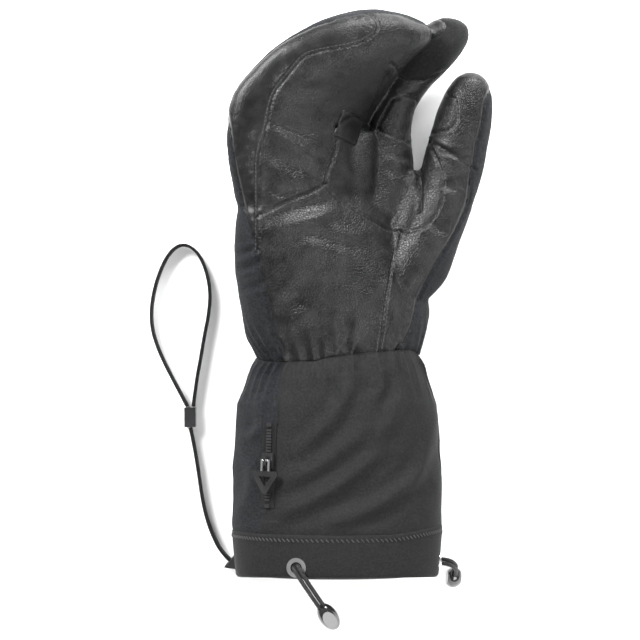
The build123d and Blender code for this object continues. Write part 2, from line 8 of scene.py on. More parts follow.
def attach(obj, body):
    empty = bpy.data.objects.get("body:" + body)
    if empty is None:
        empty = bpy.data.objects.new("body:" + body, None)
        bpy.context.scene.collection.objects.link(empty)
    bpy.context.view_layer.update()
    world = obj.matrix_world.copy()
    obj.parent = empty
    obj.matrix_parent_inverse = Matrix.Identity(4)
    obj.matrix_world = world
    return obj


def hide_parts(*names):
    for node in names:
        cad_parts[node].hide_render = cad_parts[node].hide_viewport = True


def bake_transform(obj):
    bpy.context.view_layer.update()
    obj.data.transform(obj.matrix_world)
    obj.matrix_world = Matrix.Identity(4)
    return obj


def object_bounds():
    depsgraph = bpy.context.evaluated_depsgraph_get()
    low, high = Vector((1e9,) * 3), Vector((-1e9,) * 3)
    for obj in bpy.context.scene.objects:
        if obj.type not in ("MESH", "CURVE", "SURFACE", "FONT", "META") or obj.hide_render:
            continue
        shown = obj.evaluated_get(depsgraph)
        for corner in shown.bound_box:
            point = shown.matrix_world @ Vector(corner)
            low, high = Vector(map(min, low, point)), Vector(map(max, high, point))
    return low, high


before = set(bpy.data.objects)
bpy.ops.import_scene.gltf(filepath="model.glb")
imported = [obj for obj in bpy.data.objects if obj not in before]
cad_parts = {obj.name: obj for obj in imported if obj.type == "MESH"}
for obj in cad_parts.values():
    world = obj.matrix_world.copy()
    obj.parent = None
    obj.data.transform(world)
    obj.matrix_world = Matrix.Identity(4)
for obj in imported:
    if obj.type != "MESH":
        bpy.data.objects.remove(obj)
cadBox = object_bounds()
mm = 0.001
floorZ = min(v[2] for v in cadBox)

# camera, lights and floor: metres and watts
studio = {"eye": (-0.0102, 0.1542, 1.067), "lens": 100.0, "floor": 3.0,
          "key": 34.0, "fill": 11.0, "rim": 20.0, "front": 14.0, "world": 0.26}


def makeStudio():
    cam = bpy.data.objects.new("studioCamera", bpy.data.cameras.new("studioCamera"))
    bpy.context.collection.objects.link(cam)
    cam.location = studio["eye"]
    cam.data.lens = studio["lens"]
    cam.data.sensor_width = 36.0
    cam.data.clip_end = 20.0
    bpy.context.scene.camera = cam
    bpy.context.scene.view_settings.view_transform = "Standard"
    world = bpy.data.worlds.new("paleRoom")
    bpy.context.scene.world = world
    world.use_nodes = True
    world.node_tree.nodes["Background"].inputs["Color"].default_value = (1, 1, 1, 1)
    world.node_tree.nodes["Background"].inputs["Strength"].default_value = studio["world"]
    lamps = [("keyLamp", (-0.62, 0.78, 0.62), 0.5, studio["key"]),
             ("fillLamp", (0.75, -0.1, 0.8), 0.7, studio["fill"]),
             ("frontLamp", (0.15, -0.95, 0.7), 0.8, studio["front"]),
             ("backLamp", (0.35, 1.0, 0.4), 0.45, studio["rim"])]
    for name, place, size, watts in lamps:
        lamp = bpy.data.objects.new(name, bpy.data.lights.new(name, "AREA"))
        bpy.context.collection.objects.link(lamp)
        lamp.data.size = size
        lamp.data.energy = watts
        lamp.location = place
        aim = Vector((0.0, 0.17, 0.0)) - Vector(place)
        lamp.rotation_euler = aim.to_track_quat("-Z", "Y").to_euler()
    half = studio["floor"]
    floor = meshObject("floor", [(-half, -half, floorZ), (half, -half, floorZ),
                                 (half, half, floorZ), (-half, half, floorZ)], [(0, 1, 2, 3)])
    mat = newMaterial("paleFloor")
    shader = mat.node_tree.nodes["Principled BSDF"]
    shader.inputs["Base Color"].default_value = (0.92, 0.92, 0.92, 1)
    shader.inputs["Roughness"].default_value = 0.9
    floor.data.materials.append(mat)


def meshObject(name, verts, faces, smooth=True):
    mesh = bpy.data.meshes.new(name)
    mesh.from_pydata([tuple(map(float, v)) for v in verts], [], [tuple(map(int, f)) for f in faces])
    mesh.update()
    if smooth:
        mesh.shade_smooth()
    obj = bpy.data.objects.new(name, mesh)
    bpy.context.collection.objects.link(obj)
    return obj


# materials
def newMaterial(name):
    mat = bpy.data.materials.new(name)
    mat.use_nodes = True
    return mat


def newGroup(name, inputs, outputs):
    group = bpy.data.node_groups.new(name, "ShaderNodeTree")
    for label, kind, value in inputs:
        sock = group.interface.new_socket(name=label, in_out="INPUT", socket_type=kind)
        if value is not None:
            sock.default_value = value
    for label, kind in outputs:
        group.interface.new_socket(name=label, in_out="OUTPUT", socket_type=kind)
    start = group.nodes.new("NodeGroupInput")
    end = group.nodes.new("NodeGroupOutput")
    return group, start, end


def addNode(tree, kind, **settings):
    node = tree.nodes.new(kind)
    for key, value in settings.items():
        setattr(node, key, value)
    return node


def link(tree, source, target):
    tree.links.new(source, target)


def mathNode(tree, operation, first, second=None):
    node = addNode(tree, "ShaderNodeMath", operation=operation)
    for i, value in enumerate((first, second)):
        if value is None:
            continue
        if isinstance(value, (int, float)):
            node.inputs[i].default_value = value
        else:
            link(tree, value, node.inputs[i])
    return node.outputs[0]


def makeGrainGroup():
    # pebbled leather: cells with fine creases between them, a fine speckle and a broad swell
    group, start, end = newGroup(
        "leatherGrain",
        [("Cell Size", "NodeSocketFloat", 900.0), ("Crease", "NodeSocketFloat", 0.5)],
        [("Height", "NodeSocketFloat"), ("Polish", "NodeSocketFloat")])
    place = addNode(group, "ShaderNodeTexCoord")
    warp = addNode(group, "ShaderNodeTexNoise")
    warp.inputs["Scale"].default_value = 240.0
    warp.inputs["Detail"].default_value = 2.0
    link(group, place.outputs["Object"], warp.inputs["Vector"])
    mixed = addNode(group, "ShaderNodeMix", data_type="VECTOR")
    mixed.inputs["Factor"].default_value = 0.0016
    link(group, place.outputs["Object"], mixed.inputs["A"])
    link(group, warp.outputs["Color"], mixed.inputs["B"])
    cells = addNode(group, "ShaderNodeTexVoronoi", feature="DISTANCE_TO_EDGE")
    link(group, mixed.outputs["Result"], cells.inputs["Vector"])
    link(group, start.outputs["Cell Size"], cells.inputs["Scale"])
    edges = addNode(group, "ShaderNodeMapRange", interpolation_type="SMOOTHSTEP")
    edges.inputs["From Max"].default_value = 0.16
    link(group, cells.outputs["Distance"], edges.inputs["Value"])
    fine = addNode(group, "ShaderNodeTexNoise")
    fine.inputs["Scale"].default_value = 2200.0
    fine.inputs["Detail"].default_value = 3.0
    link(group, place.outputs["Object"], fine.inputs["Vector"])
    broad = addNode(group, "ShaderNodeTexNoise")
    broad.inputs["Scale"].default_value = 120.0
    broad.inputs["Detail"].default_value = 5.0
    link(group, place.outputs["Object"], broad.inputs["Vector"])
    raised = mathNode(group, "MULTIPLY", edges.outputs["Result"], start.outputs["Crease"])
    speckle = mathNode(group, "MULTIPLY", fine.outputs["Fac"], 0.2)
    both = mathNode(group, "ADD", raised, speckle)
    swell = mathNode(group, "MULTIPLY", broad.outputs["Fac"], 1.2)
    link(group, mathNode(group, "ADD", both, swell), end.inputs["Height"])
    link(group, broad.outputs["Fac"], end.inputs["Polish"])
    return group


def makeWeaveGroup():
    # two crossed thread directions, with a fleck of lighter yarn
    group, start, end = newGroup(
        "threadWeave",
        [("Threads", "NodeSocketFloat", 1500.0), ("Fleck", "NodeSocketFloat", 0.5)],
        [("Height", "NodeSocketFloat"), ("Yarn", "NodeSocketFloat")])
    place = addNode(group, "ShaderNodeTexCoord")
    heights = []
    for direction in ("X", "Y"):
        turned = addNode(group, "ShaderNodeMapping")
        turned.inputs["Rotation"].default_value = (0.35, 0.2, 0.5)
        link(group, place.outputs["Object"], turned.inputs["Vector"])
        thread = addNode(group, "ShaderNodeTexWave", bands_direction=direction)
        thread.inputs["Distortion"].default_value = 0.6
        thread.inputs["Detail"].default_value = 1.0
        link(group, turned.outputs["Vector"], thread.inputs["Vector"])
        link(group, start.outputs["Threads"], thread.inputs["Scale"])
        heights.append(thread.outputs["Fac"])
    crossed = mathNode(group, "MULTIPLY", heights[0], heights[1])
    fleck = addNode(group, "ShaderNodeTexNoise")
    fleck.inputs["Scale"].default_value = 850.0
    fleck.inputs["Detail"].default_value = 2.0
    link(group, place.outputs["Object"], fleck.inputs["Vector"])
    flecked = mathNode(group, "MULTIPLY", fleck.outputs["Fac"], start.outputs["Fleck"])
    link(group, mathNode(group, "ADD", crossed, flecked), end.inputs["Height"])
    link(group, flecked, end.inputs["Yarn"])
    return group


def makeWearGroup():
    # rubbed high places and dusty low ones, broken up by noise
    group, start, end = newGroup(
        "rubbedEdges",
        [("Amount", "NodeSocketFloat", 0.5)],
        [("Rubbed", "NodeSocketFloat"), ("Dust", "NodeSocketFloat")])
    shape = addNode(group, "ShaderNodeNewGeometry")
    place = addNode(group, "ShaderNodeTexCoord")
    patchy = addNode(group, "ShaderNodeTexNoise")
    patchy.inputs["Scale"].default_value = 60.0
    patchy.inputs["Detail"].default_value = 4.0
    link(group, place.outputs["Object"], patchy.inputs["Vector"])
    edge = addNode(group, "ShaderNodeMapRange")
    edge.inputs["From Min"].default_value = 0.5
    edge.inputs["From Max"].default_value = 0.62
    link(group, shape.outputs["Pointiness"], edge.inputs["Value"])
    broken = mathNode(group, "MULTIPLY", edge.outputs["Result"], patchy.outputs["Fac"])
    link(group, mathNode(group, "MULTIPLY", broken, start.outputs["Amount"]), end.inputs["Rubbed"])
    low = addNode(group, "ShaderNodeMapRange")
    low.inputs["From Min"].default_value = 0.5
    low.inputs["From Max"].default_value = 0.4
    link(group, shape.outputs["Pointiness"], low.inputs["Value"])
    dust = mathNode(group, "MULTIPLY", low.outputs["Result"], patchy.outputs["Fac"])
    link(group, mathNode(group, "MULTIPLY", dust, start.outputs["Amount"]), end.inputs["Dust"])
    return group


groups = {}


def placeGroup(tree, name, **values):
    node = addNode(tree, "ShaderNodeGroup", node_tree=groups[name])
    for key, value in values.items():
        node.inputs[key].default_value = value
    return node


rubbed = {"gain": 2.2, "lift": 0.01}  # how far a worn edge is lighter than the cloth


def finishMaterial(name, finish):
    # one build for every cloth, leather and moulded finish: texture group, wear, colour ramp, bump
    mat = newMaterial(name)
    tree = mat.node_tree
    shader = tree.nodes["Principled BSDF"]
    if finish["texture"] == "leather":
        texture = placeGroup(tree, "grain", **{"Cell Size": finish["scale"],
                                               "Crease": finish["crease"]})
        vary = texture.outputs["Polish"]
    else:
        texture = placeGroup(tree, "weave", Threads=finish["scale"], Fleck=finish["crease"])
        vary = texture.outputs["Yarn"]
    wear = placeGroup(tree, "wear", Amount=finish["wear"])
    ramp = addNode(tree, "ShaderNodeValToRGB")
    ramp.color_ramp.elements[0].position = finish.get("from", 0.3)
    ramp.color_ramp.elements[1].position = finish.get("to", 0.75)
    ramp.color_ramp.elements[0].color = (*finish["dark"], 1)
    ramp.color_ramp.elements[1].color = (*finish["light"], 1)
    link(tree, vary, ramp.inputs["Fac"])
    mixed = addNode(tree, "ShaderNodeMix", data_type="RGBA")
    link(tree, wear.outputs["Rubbed"], mixed.inputs["Factor"])
    link(tree, ramp.outputs["Color"], mixed.inputs["A"])
    worn = [min(1, rubbed["gain"] * c + rubbed["lift"]) for c in finish["light"]]
    mixed.inputs["B"].default_value = (*worn, 1)
    link(tree, mixed.outputs["Result"], shader.inputs["Base Color"])
    rough = addNode(tree, "ShaderNodeMapRange")
    rough.inputs["To Min"].default_value = finish["rough"][0]
    rough.inputs["To Max"].default_value = finish["rough"][1]
    link(tree, vary, rough.inputs["Value"])
    link(tree, rough.outputs["Result"], shader.inputs["Roughness"])
    bump = addNode(tree, "ShaderNodeBump")
    bump.inputs["Strength"].default_value = finish["bump"]
    bump.inputs["Distance"].default_value = finish["deep"]
    link(tree, texture.outputs["Height"], bump.inputs["Height"])
    link(tree, bump.outputs["Normal"], shader.inputs["Normal"])
    for key in ("Specular IOR Level", "Sheen Weight", "Sheen Roughness", "Metallic", "Coat Weight",
                "Coat Roughness"):
        if key in finish:
            shader.inputs[key].default_value = finish[key]
    return mat


finishes = {
    "blackLeather": {"texture": "leather", "scale": 640.0, "crease": 0.8, "wear": 0.1,
                     "dark": (0.0045, 0.0045, 0.0047), "light": (0.012, 0.012, 0.0125),
                     "rough": (0.27, 0.40), "bump": 0.32, "deep": 0.0005,
                     "Specular IOR Level": 0.2},
    "coarseLeather": {"texture": "leather", "scale": 700.0, "crease": 0.8, "wear": 0.1,
                      "dark": (0.004, 0.004, 0.0042), "light": (0.013, 0.013, 0.0135),
                      "rough": (0.30, 0.44), "bump": 0.36, "deep": 0.0006,
                      "Specular IOR Level": 0.2},
    "smoothLeather": {"texture": "leather", "scale": 800.0, "crease": 0.6, "wear": 0.1,
                      "dark": (0.0045, 0.0045, 0.0047), "light": (0.011, 0.011, 0.0115),
                      "rough": (0.24, 0.36), "bump": 0.25, "deep": 0.0004,
                      "Specular IOR Level": 0.2},
    "charcoalSoftshell": {"texture": "weave", "scale": 900.0, "crease": 0.8, "wear": 0.15,
                          "dark": (0.004, 0.0044, 0.0052), "light": (0.017, 0.0182, 0.0205),
                          "rough": (0.75, 0.95), "bump": 0.5, "deep": 0.0004,
                          "Specular IOR Level": 0.1, "Sheen Weight": 0.03, "from": 0.25, "to": 0.6},
    "greyShell": {"texture": "weave", "scale": 1100.0, "crease": 0.6, "wear": 0.1,
                  "dark": (0.0035, 0.0035, 0.0038), "light": (0.0135, 0.0135, 0.0142),
                  "rough": (0.60, 0.82), "bump": 0.4, "deep": 0.0003,
                  "Specular IOR Level": 0.14, "Sheen Weight": 0.02, "from": 0.2, "to": 0.5},
    "gripWeave": {"texture": "weave", "scale": 1900.0, "crease": 0.9, "wear": 0.3,
                  "dark": (0.004, 0.004, 0.0042), "light": (0.022, 0.022, 0.023),
                  "rough": (0.45, 0.7), "bump": 0.9, "deep": 0.0005, "Specular IOR Level": 0.2},
    "tapeWeave": {"texture": "weave", "scale": 1400.0, "crease": 0.4, "wear": 0.3,
                  "dark": (0.003, 0.003, 0.003), "light": (0.012, 0.012, 0.0125),
                  "rough": (0.5, 0.75), "bump": 0.8, "deep": 0.0005, "Specular IOR Level": 0.2},
    "knitLining": {"texture": "weave", "scale": 700.0, "crease": 0.5, "wear": 0.1,
                   "dark": (0.010, 0.010, 0.011), "light": (0.026, 0.026, 0.028),
                   "rough": (0.85, 1.0), "bump": 0.8, "deep": 0.0008, "Sheen Weight": 0.3},
    "threadGrey": {"texture": "weave", "scale": 2500.0, "crease": 0.5, "wear": 0.2,
                   "dark": (0.014, 0.014, 0.015), "light": (0.034, 0.034, 0.036),
                   "rough": (0.45, 0.65), "bump": 0.5, "deep": 0.0002},
    "glossBlack": {"texture": "leather", "scale": 500.0, "crease": 0.05, "wear": 0.4,
                   "dark": (0.006, 0.006, 0.006), "light": (0.014, 0.014, 0.015),
                   "rough": (0.10, 0.22), "bump": 0.06, "deep": 0.0002,
                   "Specular IOR Level": 0.6, "Coat Weight": 0.5, "Coat Roughness": 0.08},
    "polishedNickel": {"texture": "leather", "scale": 700.0, "crease": 0.05, "wear": 0.6,
                       "dark": (0.75, 0.75, 0.76), "light": (0.95, 0.95, 0.96),
                       "rough": (0.14, 0.30), "bump": 0.08, "deep": 0.0002, "Metallic": 1.0},
    "elasticCord": {"texture": "weave", "scale": 2200.0, "crease": 0.5, "wear": 0.1,
                    "dark": (0.003, 0.003, 0.003), "light": (0.012, 0.012, 0.0125),
                    "rough": (0.5, 0.7), "bump": 0.9, "deep": 0.0004},
    "zipPlastic": {"texture": "leather", "scale": 900.0, "crease": 0.1, "wear": 0.4,
                   "dark": (0.006, 0.006, 0.006), "light": (0.018, 0.018, 0.019),
                   "rough": (0.28, 0.42), "bump": 0.1, "deep": 0.0002},
}
materials = {}


def makeMaterials():
    groups["grain"] = makeGrainGroup()
    groups["weave"] = makeWeaveGroup()
    groups["wear"] = makeWearGroup()
    for name, finish in finishes.items():
        materials[name] = finishMaterial(name, finish)
    print("materials", len(materials))


# curves and stations, in millimetres
def smoothLine(points, step=1.0):
    # a Catmull-Rom line through given points, read off every step millimetres
    p = np.array(points, float)
    p = np.vstack([2 * p[0] - p[1], p, 2 * p[-1] - p[-2]])
    out = []
    for i in range(1, len(p) - 2):
        count = max(2, int(np.linalg.norm(p[i + 1] - p[i]) / step))
        for t in np.arange(count) / count:
            out.append(0.5 * ((2 * p[i]) + (p[i + 1] - p[i - 1]) * t
                              + (2 * p[i - 1] - 5 * p[i] + 4 * p[i + 1] - p[i + 2]) * t ** 2
                              + (3 * p[i] - p[i - 1] - 3 * p[i + 1] + p[i + 2]) * t ** 3))
    out.append(p[-2])
    return np.array(out)


def unit(v):
    v = np.array(v, float)
    return v / np.linalg.norm(v)


# one station: centre, direction across, palm direction, half width, half thickness
def rolledRow(x, y, z, roll, a, b):
    c, s = math.cos(math.radians(roll)), math.sin(math.radians(roll))
    return ((x, y, z), (c, 0, -s), (s, 0, c), a, b)


handSkin = {
    "hand": [rolledRow(0, 120, 0.6, 0, 49, 26.2), rolledRow(0, 130, 1, 0, 49.5, 26.8),
             rolledRow(-1, 143, 2.5, 6, 55, 28.5), rolledRow(0, 160, 4, 14, 59.5, 29.5),
             rolledRow(-5, 182, 6, 22, 60, 28.5), rolledRow(-10, 206, 8, 30, 58, 26),
             rolledRow(-12.5, 224, 9, 33, 53, 21), rolledRow(-13.5, 232, 9.5, 34, 46, 15)],
    "mitt": [((-20, 198, 13), (0.89, 0, -0.45), (0.45, 0, 0.89), 36, 17),
             ((-22, 224, 15.5), (0.85, 0, -0.53), (0.53, 0, 0.85), 44, 21),
             ((-22.5, 250, 15.2), (0.82, -0.04, -0.57), (0.57, -0.05, 0.82), 50, 21),
             ((-22, 275, 16.5), (0.78, -0.12, -0.61), (0.57, -0.35, 0.75), 51, 20),
             ((-10, 292, 19.5), (0.72, -0.25, -0.63), (0.40, -0.62, 0.67), 45.5, 19),
             ((5, 307, 23.5), (0.72, -0.25, -0.63), (0.28, -0.75, 0.60), 39.5, 18.5),
             ((22, 319, 27), (0.76, -0.18, -0.62), (0.22, -0.80, 0.56), 32, 17.5),
             ((37, 325.5, 28), (0.80, -0.12, -0.59), (0.22, -0.80, 0.56), 25, 13.5),
             ((46, 327, 28.5), (0.80, -0.12, -0.59), (0.22, -0.80, 0.56), 13.5, 7.5)],
    "index": [((12, 196, -8), (0.85, 0, -0.53), (0.53, 0, 0.85), 14, 13),
              ((26, 224, -13), (0.85, -0.1, -0.5), (0.5, -0.1, 0.85), 19, 16.5),
              ((30, 250, -14.5), (0.84, -0.1, -0.5), (0.5, -0.15, 0.85), 19, 16.5),
              ((31.5, 271, -14.5), (0.83, -0.2, -0.5), (0.45, -0.25, 0.85), 16.3, 15.2),
              ((36, 288, -13), (0.75, -0.45, -0.5), (0.4, -0.3, 0.85), 15.0, 14.6),
              ((45, 302.5, -9), (0.7, -0.5, -0.5), (0.35, -0.35, 0.85), 15.4, 14.4),
              ((59, 317.5, -3), (0.7, -0.5, -0.5), (0.35, -0.35, 0.85), 16.4, 14.2),
              ((66.5, 325, 0), (0.7, -0.5, -0.5), (0.35, -0.35, 0.85), 15.4, 12.6),
              ((72.5, 330, 1), (0.7, -0.5, -0.5), (0.35, -0.35, 0.85), 11.4, 9.2),
              ((76, 332.5, 1.5), (0.7, -0.5, -0.5), (0.35, -0.35, 0.85), 5.0, 4.2)],
    "web": [((4, 214, 1), (0.8, 0, -0.6), (0.6, 0, 0.8), 20, 15),
            ((9, 240, 0), (0.8, 0, -0.6), (0.6, 0, 0.8), 20, 14),
            ((13, 258, -1), (0.8, 0, -0.6), (0.6, 0, 0.8), 14, 12),
            ((16, 268, -1), (0.8, 0, -0.6), (0.6, 0, 0.8), 8, 8)],
    "crotch": [((38, 204, -8), (0.9, 0, -0.4), (0.4, 0, 0.9), 14, 14),
               ((44, 224, -10), (0.9, 0, -0.4), (0.4, 0, 0.9), 11, 12),
               ((47.5, 245, -10), (0.9, 0, -0.4), (0.4, 0, 0.9), 6, 8)],
    "thumb": [((20, 156, -1), (0.8, -0.5, -0.2), (0.2, -0.05, 0.95), 17, 14),
              ((44, 184, -5), (0.86, -0.45, -0.15), (0.15, -0.05, 0.98), 22.3, 20.2),
              ((57, 210, -8), (0.9, -0.35, -0.15), (0.15, 0, 0.98), 20.8, 19.8),
              ((67, 236, -9), (0.94, -0.25, -0.15), (0.15, 0, 0.98), 19.8, 18.8),
              ((73.5, 262, -8), (0.97, -0.15, -0.15), (0.1, -0.05, 0.98), 19.6, 17.7),
              ((78.5, 285, -6), (0.98, -0.1, -0.15), (0.1, -0.1, 0.98), 17.0, 15.2),
              ((81, 298.5, -4.5), (0.98, -0.1, -0.15), (0.1, -0.1, 0.98), 11.4, 10.4),
              ((81.5, 303.5, -4), (0.98, -0.1, -0.15), (0.1, -0.1, 0.98), 5.4, 5.0)],
}


def frames(rows, step=2.5):
    # stations read off smoothly between the rows: centre, across, palm, forward, half sizes
    flat = np.array([[*c, *unit(w), *unit(n), a, b] for c, w, n, a, b in rows])
    line = smoothLine(flat, step)
    out = []
    for row in line:
        w = unit(row[3:6])
        n = unit(row[6:9] - w * row[6:9].dot(w))
        out.append((row[:3], w, n, np.cross(n, w), row[9], row[10]))
    return out


def tubeMesh(rows, ring=48, shrink=0.0):
    stations = frames(rows)
    verts, faces = [], []
    for c, w, n, _, a, b in stations:
        for k in range(ring):
            t = 2 * math.pi * k / ring
            verts.append((c + w * (a - shrink) * math.cos(t) + n * (b - shrink) * math.sin(t)) * mm)
    for i in range(len(stations) - 1):
        for k in range(ring):
            j = (k + 1) % ring
            faces.append((i * ring + k, i * ring + j, (i + 1) * ring + j, (i + 1) * ring + k))
    faces.append(tuple(reversed(range(ring))))
    top = (len(stations) - 1) * ring
    faces.append(tuple(range(top, top + ring)))
    return verts, faces


def evaluated(obj):
    bpy.context.view_layer.update()
    graph = bpy.context.evaluated_depsgraph_get()
    return bpy.data.meshes.new_from_object(obj.evaluated_get(graph), depsgraph=graph)


def withModifier(obj, kind, **settings):
    # adds a modifier, keeps its result as the mesh and takes the modifier off again
    mod = obj.modifiers.new(kind.lower(), kind)
    for key, value in settings.items():
        setattr(mod, key, value)
    mesh = evaluated(obj)
    obj.modifiers.clear()
    obj.data = mesh
    return obj


def coords(mesh):
    out = np.empty(len(mesh.vertices) * 3)
    mesh.vertices.foreach_get("co", out)
    return out.reshape(-1, 3)


def setCoords(mesh, co):
    mesh.vertices.foreach_set("co", co.ravel())
    mesh.update()


def normals(mesh):
    out = np.empty(len(mesh.vertices) * 3)
    mesh.vertex_normals.foreach_get("vector", out)
    return out.reshape(-1, 3)


puff = {"voxel": 3.0, "pressure": 3.0, "frames": 12, "cap": 2.2, "fine": 1.1, "start": 1.2}


def inflate(obj):
    # a short pressure run gives the shell its stuffed look; each point moves by at most the cap
    before = coords(obj.data)
    mod = obj.modifiers.new("cloth", "CLOTH")
    mod.settings.use_pressure = True
    mod.settings.uniform_pressure_force = puff["pressure"]
    mod.settings.quality = 4
    mod.settings.tension_stiffness = 12
    mod.settings.bending_stiffness = 0.4
    mod.settings.effector_weights.gravity = 0
    scene = bpy.context.scene
    scene.frame_start, scene.frame_end = 1, puff["frames"]
    mod.point_cache.frame_end = puff["frames"]
    for number in range(1, puff["frames"] + 1):
        scene.frame_set(number)
    mesh = evaluated(obj)
    after = coords(mesh)
    obj.modifiers.clear()
    scene.frame_set(1)
    move = after - before
    length = np.linalg.norm(move, axis=1, keepdims=True) + 1e-12
    cap = puff["cap"] * mm
    setCoords(obj.data, before + move / length * np.minimum(length, cap))


web = {"centre": (20, 236), "size": (34, 22), "rounds": 45}


def easeWeb(obj):
    # the leather between pocket, forefinger and thumb lies as one hollow, not as three tubes
    co = coords(obj.data) / mm
    x = (co[:, 0] - web["centre"][0]) / web["size"][0]
    y = (co[:, 1] - web["centre"][1]) / web["size"][1]
    weight = np.clip(1.25 - (x ** 2 + y ** 2), 0, 1)
    group = obj.vertex_groups.new(name="web")
    for level in range(1, 11):
        group.add(np.nonzero(np.ceil(weight * 10) == level)[0].tolist(), level / 10, "REPLACE")
    withModifier(obj, "SMOOTH", factor=0.5, iterations=web["rounds"], vertex_group="web")


def handMaster():
    # each tube is blown up by itself, then all are run together into one skin
    verts, faces = [], []
    for name, rows in handSkin.items():
        v, f = tubeMesh(rows, shrink=puff["start"])
        tube = meshObject(name + "Tube", v, f)
        withModifier(tube, "REMESH", mode="VOXEL", voxel_size=puff["voxel"] * mm)
        withModifier(tube, "SMOOTH", factor=0.5, iterations=4)
        inflate(tube)
        faces += [tuple(k + len(verts) for k in face.vertices) for face in tube.data.polygons]
        verts += [tuple(v.co) for v in tube.data.vertices]
        bpy.data.objects.remove(tube)
    obj = meshObject("handMaster", verts, faces)
    withModifier(obj, "REMESH", mode="VOXEL", voxel_size=puff["fine"] * mm)
    withModifier(obj, "SMOOTH", factor=0.5, iterations=5)
    easeWeb(obj)
    print("hand master", len(obj.data.vertices), "points")
    return obj


# seams drawn on the palm side, in millimetres
lines = {
    "palmLeft": [(-33, 112), (-33.6, 126.6), (-32.4, 138), (-36.6, 145), (-38.4, 156.6),
                 (-40.8, 169.8), (-44.4, 181), (-46.2, 194)],
    "stripOuter": [(-46.2, 194), (-52, 211.8), (-57, 231.6), (-61.8, 260.4), (-67, 285)],
    "stripInner": [(-46.2, 194), (-46, 214), (-45.6, 246.6), (-41.4, 263.4), (-37, 282.6),
                   (-28, 295), (-18.6, 305.4), (-6.6, 309), (5.4, 311.4), (16.2, 315),
                   (22, 320.4), (22.8, 326.4), (17.4, 331.2), (9.6, 333), (-0.6, 331)],
    "crease": [(-46, 214.2), (-30.6, 222), (-15.6, 228), (-7.2, 234)],
    "junction": [(-7.2, 234), (-6.6, 238.8), (-1.8, 250.8), (0, 261.6), (-0.6, 268)],
    "crotchLow": [(-7.2, 234), (-5.4, 229.8), (1.2, 223.8), (15.6, 216), (29.4, 208.8),
                  (38.4, 207), (47.4, 207.6), (54, 211.2), (60, 219), (63, 228.6),
                  (62.4, 241.8), (58.2, 253.8), (54.6, 262)],
    "crotchTop": [(-0.6, 268), (8, 274), (18.6, 272.4), (27, 267.6), (37.2, 263.4), (47, 260)],
    "thenar": [(37, 207.5), (30, 174.6), (26.4, 148.2), (24.6, 135.6), (24.4, 112)],
    "palmRight": [(34, 112), (35.4, 135), (42, 145), (46, 156.6), (48.6, 168), (54, 179.4),
                  (62.4, 193.8), (76, 219), (79.2, 229.8), (80.4, 242.4), (82.2, 249.6),
                  (83.4, 259.2), (85.2, 265.8), (87.6, 276), (88.8, 284.4), (92.5, 293)],
    "cap": [(31, 304), (37.8, 300.6), (44.4, 297.6), (54, 298.2), (58.2, 300.6), (66, 304)],
    "inlay": [(50, 337), (56.4, 335.4), (63, 332.4), (64.8, 328.2), (62.4, 324.6),
              (58.2, 322.2), (50, 320)],
    "pad": [(33, 286), (40, 288.3), (47.4, 287.4), (49, 281), (46, 270), (41, 263.5),
            (33, 265.5), (25.2, 268.8), (28, 277), (33, 286)],
    "thumbPatch": [(63, 297), (65.4, 290.4), (70.2, 286.8), (71.4, 280.2), (70.8, 272.4),
                   (67.2, 268.2), (57, 266.4), (50, 266)],
    "thumbCross": [(53, 263.4), (55.8, 261.6), (67, 253.5), (79.8, 246), (83, 244)],
    "fingerSlit": [(29.4, 297.6), (24, 286), (18.8, 273.5)],
    "thumbSlit": [(49.5, 254), (49, 240), (48.7, 230), (48.6, 220)],
}
# groove depth, groove half width, pucker height, stitch rows as offsets from the seam
seams = {
    "palmLeft": (1.0, 0.9, 0.10, ()), "stripOuter": (1.0, 0.9, 0.08, ()),
    "stripInner": (0.9, 0.8, 0.08, (-1.3,)), "crease": (1.2, 0.9, 0.12, (1.3,)),
    "junction": (1.0, 0.8, 0.08, (-1.2,)), "crotchLow": (0.8, 0.8, 0.08, (1.3,)),
    "crotchTop": (0.8, 0.8, 0.05, ()), "thenar": (0.8, 0.8, 0.10, (-1.5, 1.5)),
    "palmRight": (1.1, 0.9, 0.10, ()), "cap": (0.8, 0.8, 0.06, (1.2,)),
    "inlay": (0.6, 0.7, 0.03, (1.2,)), "pad": (0.8, 0.8, 0.05, (-1.2,)),
    "thumbPatch": (0.8, 0.7, 0.04, (-1.2,)), "thumbCross": (1.1, 0.9, 0.05, ()),
    "fingerSlit": (1.2, 1.2, 0.0, ()), "thumbSlit": (4.0, 1.4, 0.0, ()),
}
lineOf = {name: smoothLine(points, 1.5) for name, points in lines.items()}
outlines = {
    "softSide": [lineOf["palmLeft"], lineOf["stripOuter"], [(-95, 300), (-95, 112)]],
    "strip": [lineOf["stripOuter"], [(-80, 300), (-58, 330), (-25, 348), (-4, 338)],
              lineOf["stripInner"][::-1]],
    "crotch": [lineOf["crotchLow"], lineOf["crotchTop"][::-1], lineOf["junction"][::-1]],
    "pad": [lineOf["pad"]],
    "inlay": [lineOf["inlay"]],
    "thumbPatch": [lineOf["thumbPatch"], [(44, 280), (50, 300)]],
    "thenar": [lineOf["thenar"], [(120, 112), (120, 300), (50, 300)]],
    "shellRight": [lineOf["palmRight"], [(120, 300), (120, 112)]],
    "cap": [lineOf["cap"], [(120, 300), (120, 360), (20, 360)]],
}


def inside(name, x, y):
    ring = np.vstack([np.array(part, float) for part in outlines[name]])
    found = np.zeros(len(x), bool)
    for (x0, y0), (x1, y1) in zip(ring, np.roll(ring, -1, axis=0)):
        if y0 == y1:
            continue
        crossing = (y0 > y) != (y1 > y)
        found ^= crossing & (x < (x1 - x0) * (y - y0) / (y1 - y0) + x0)
    return found


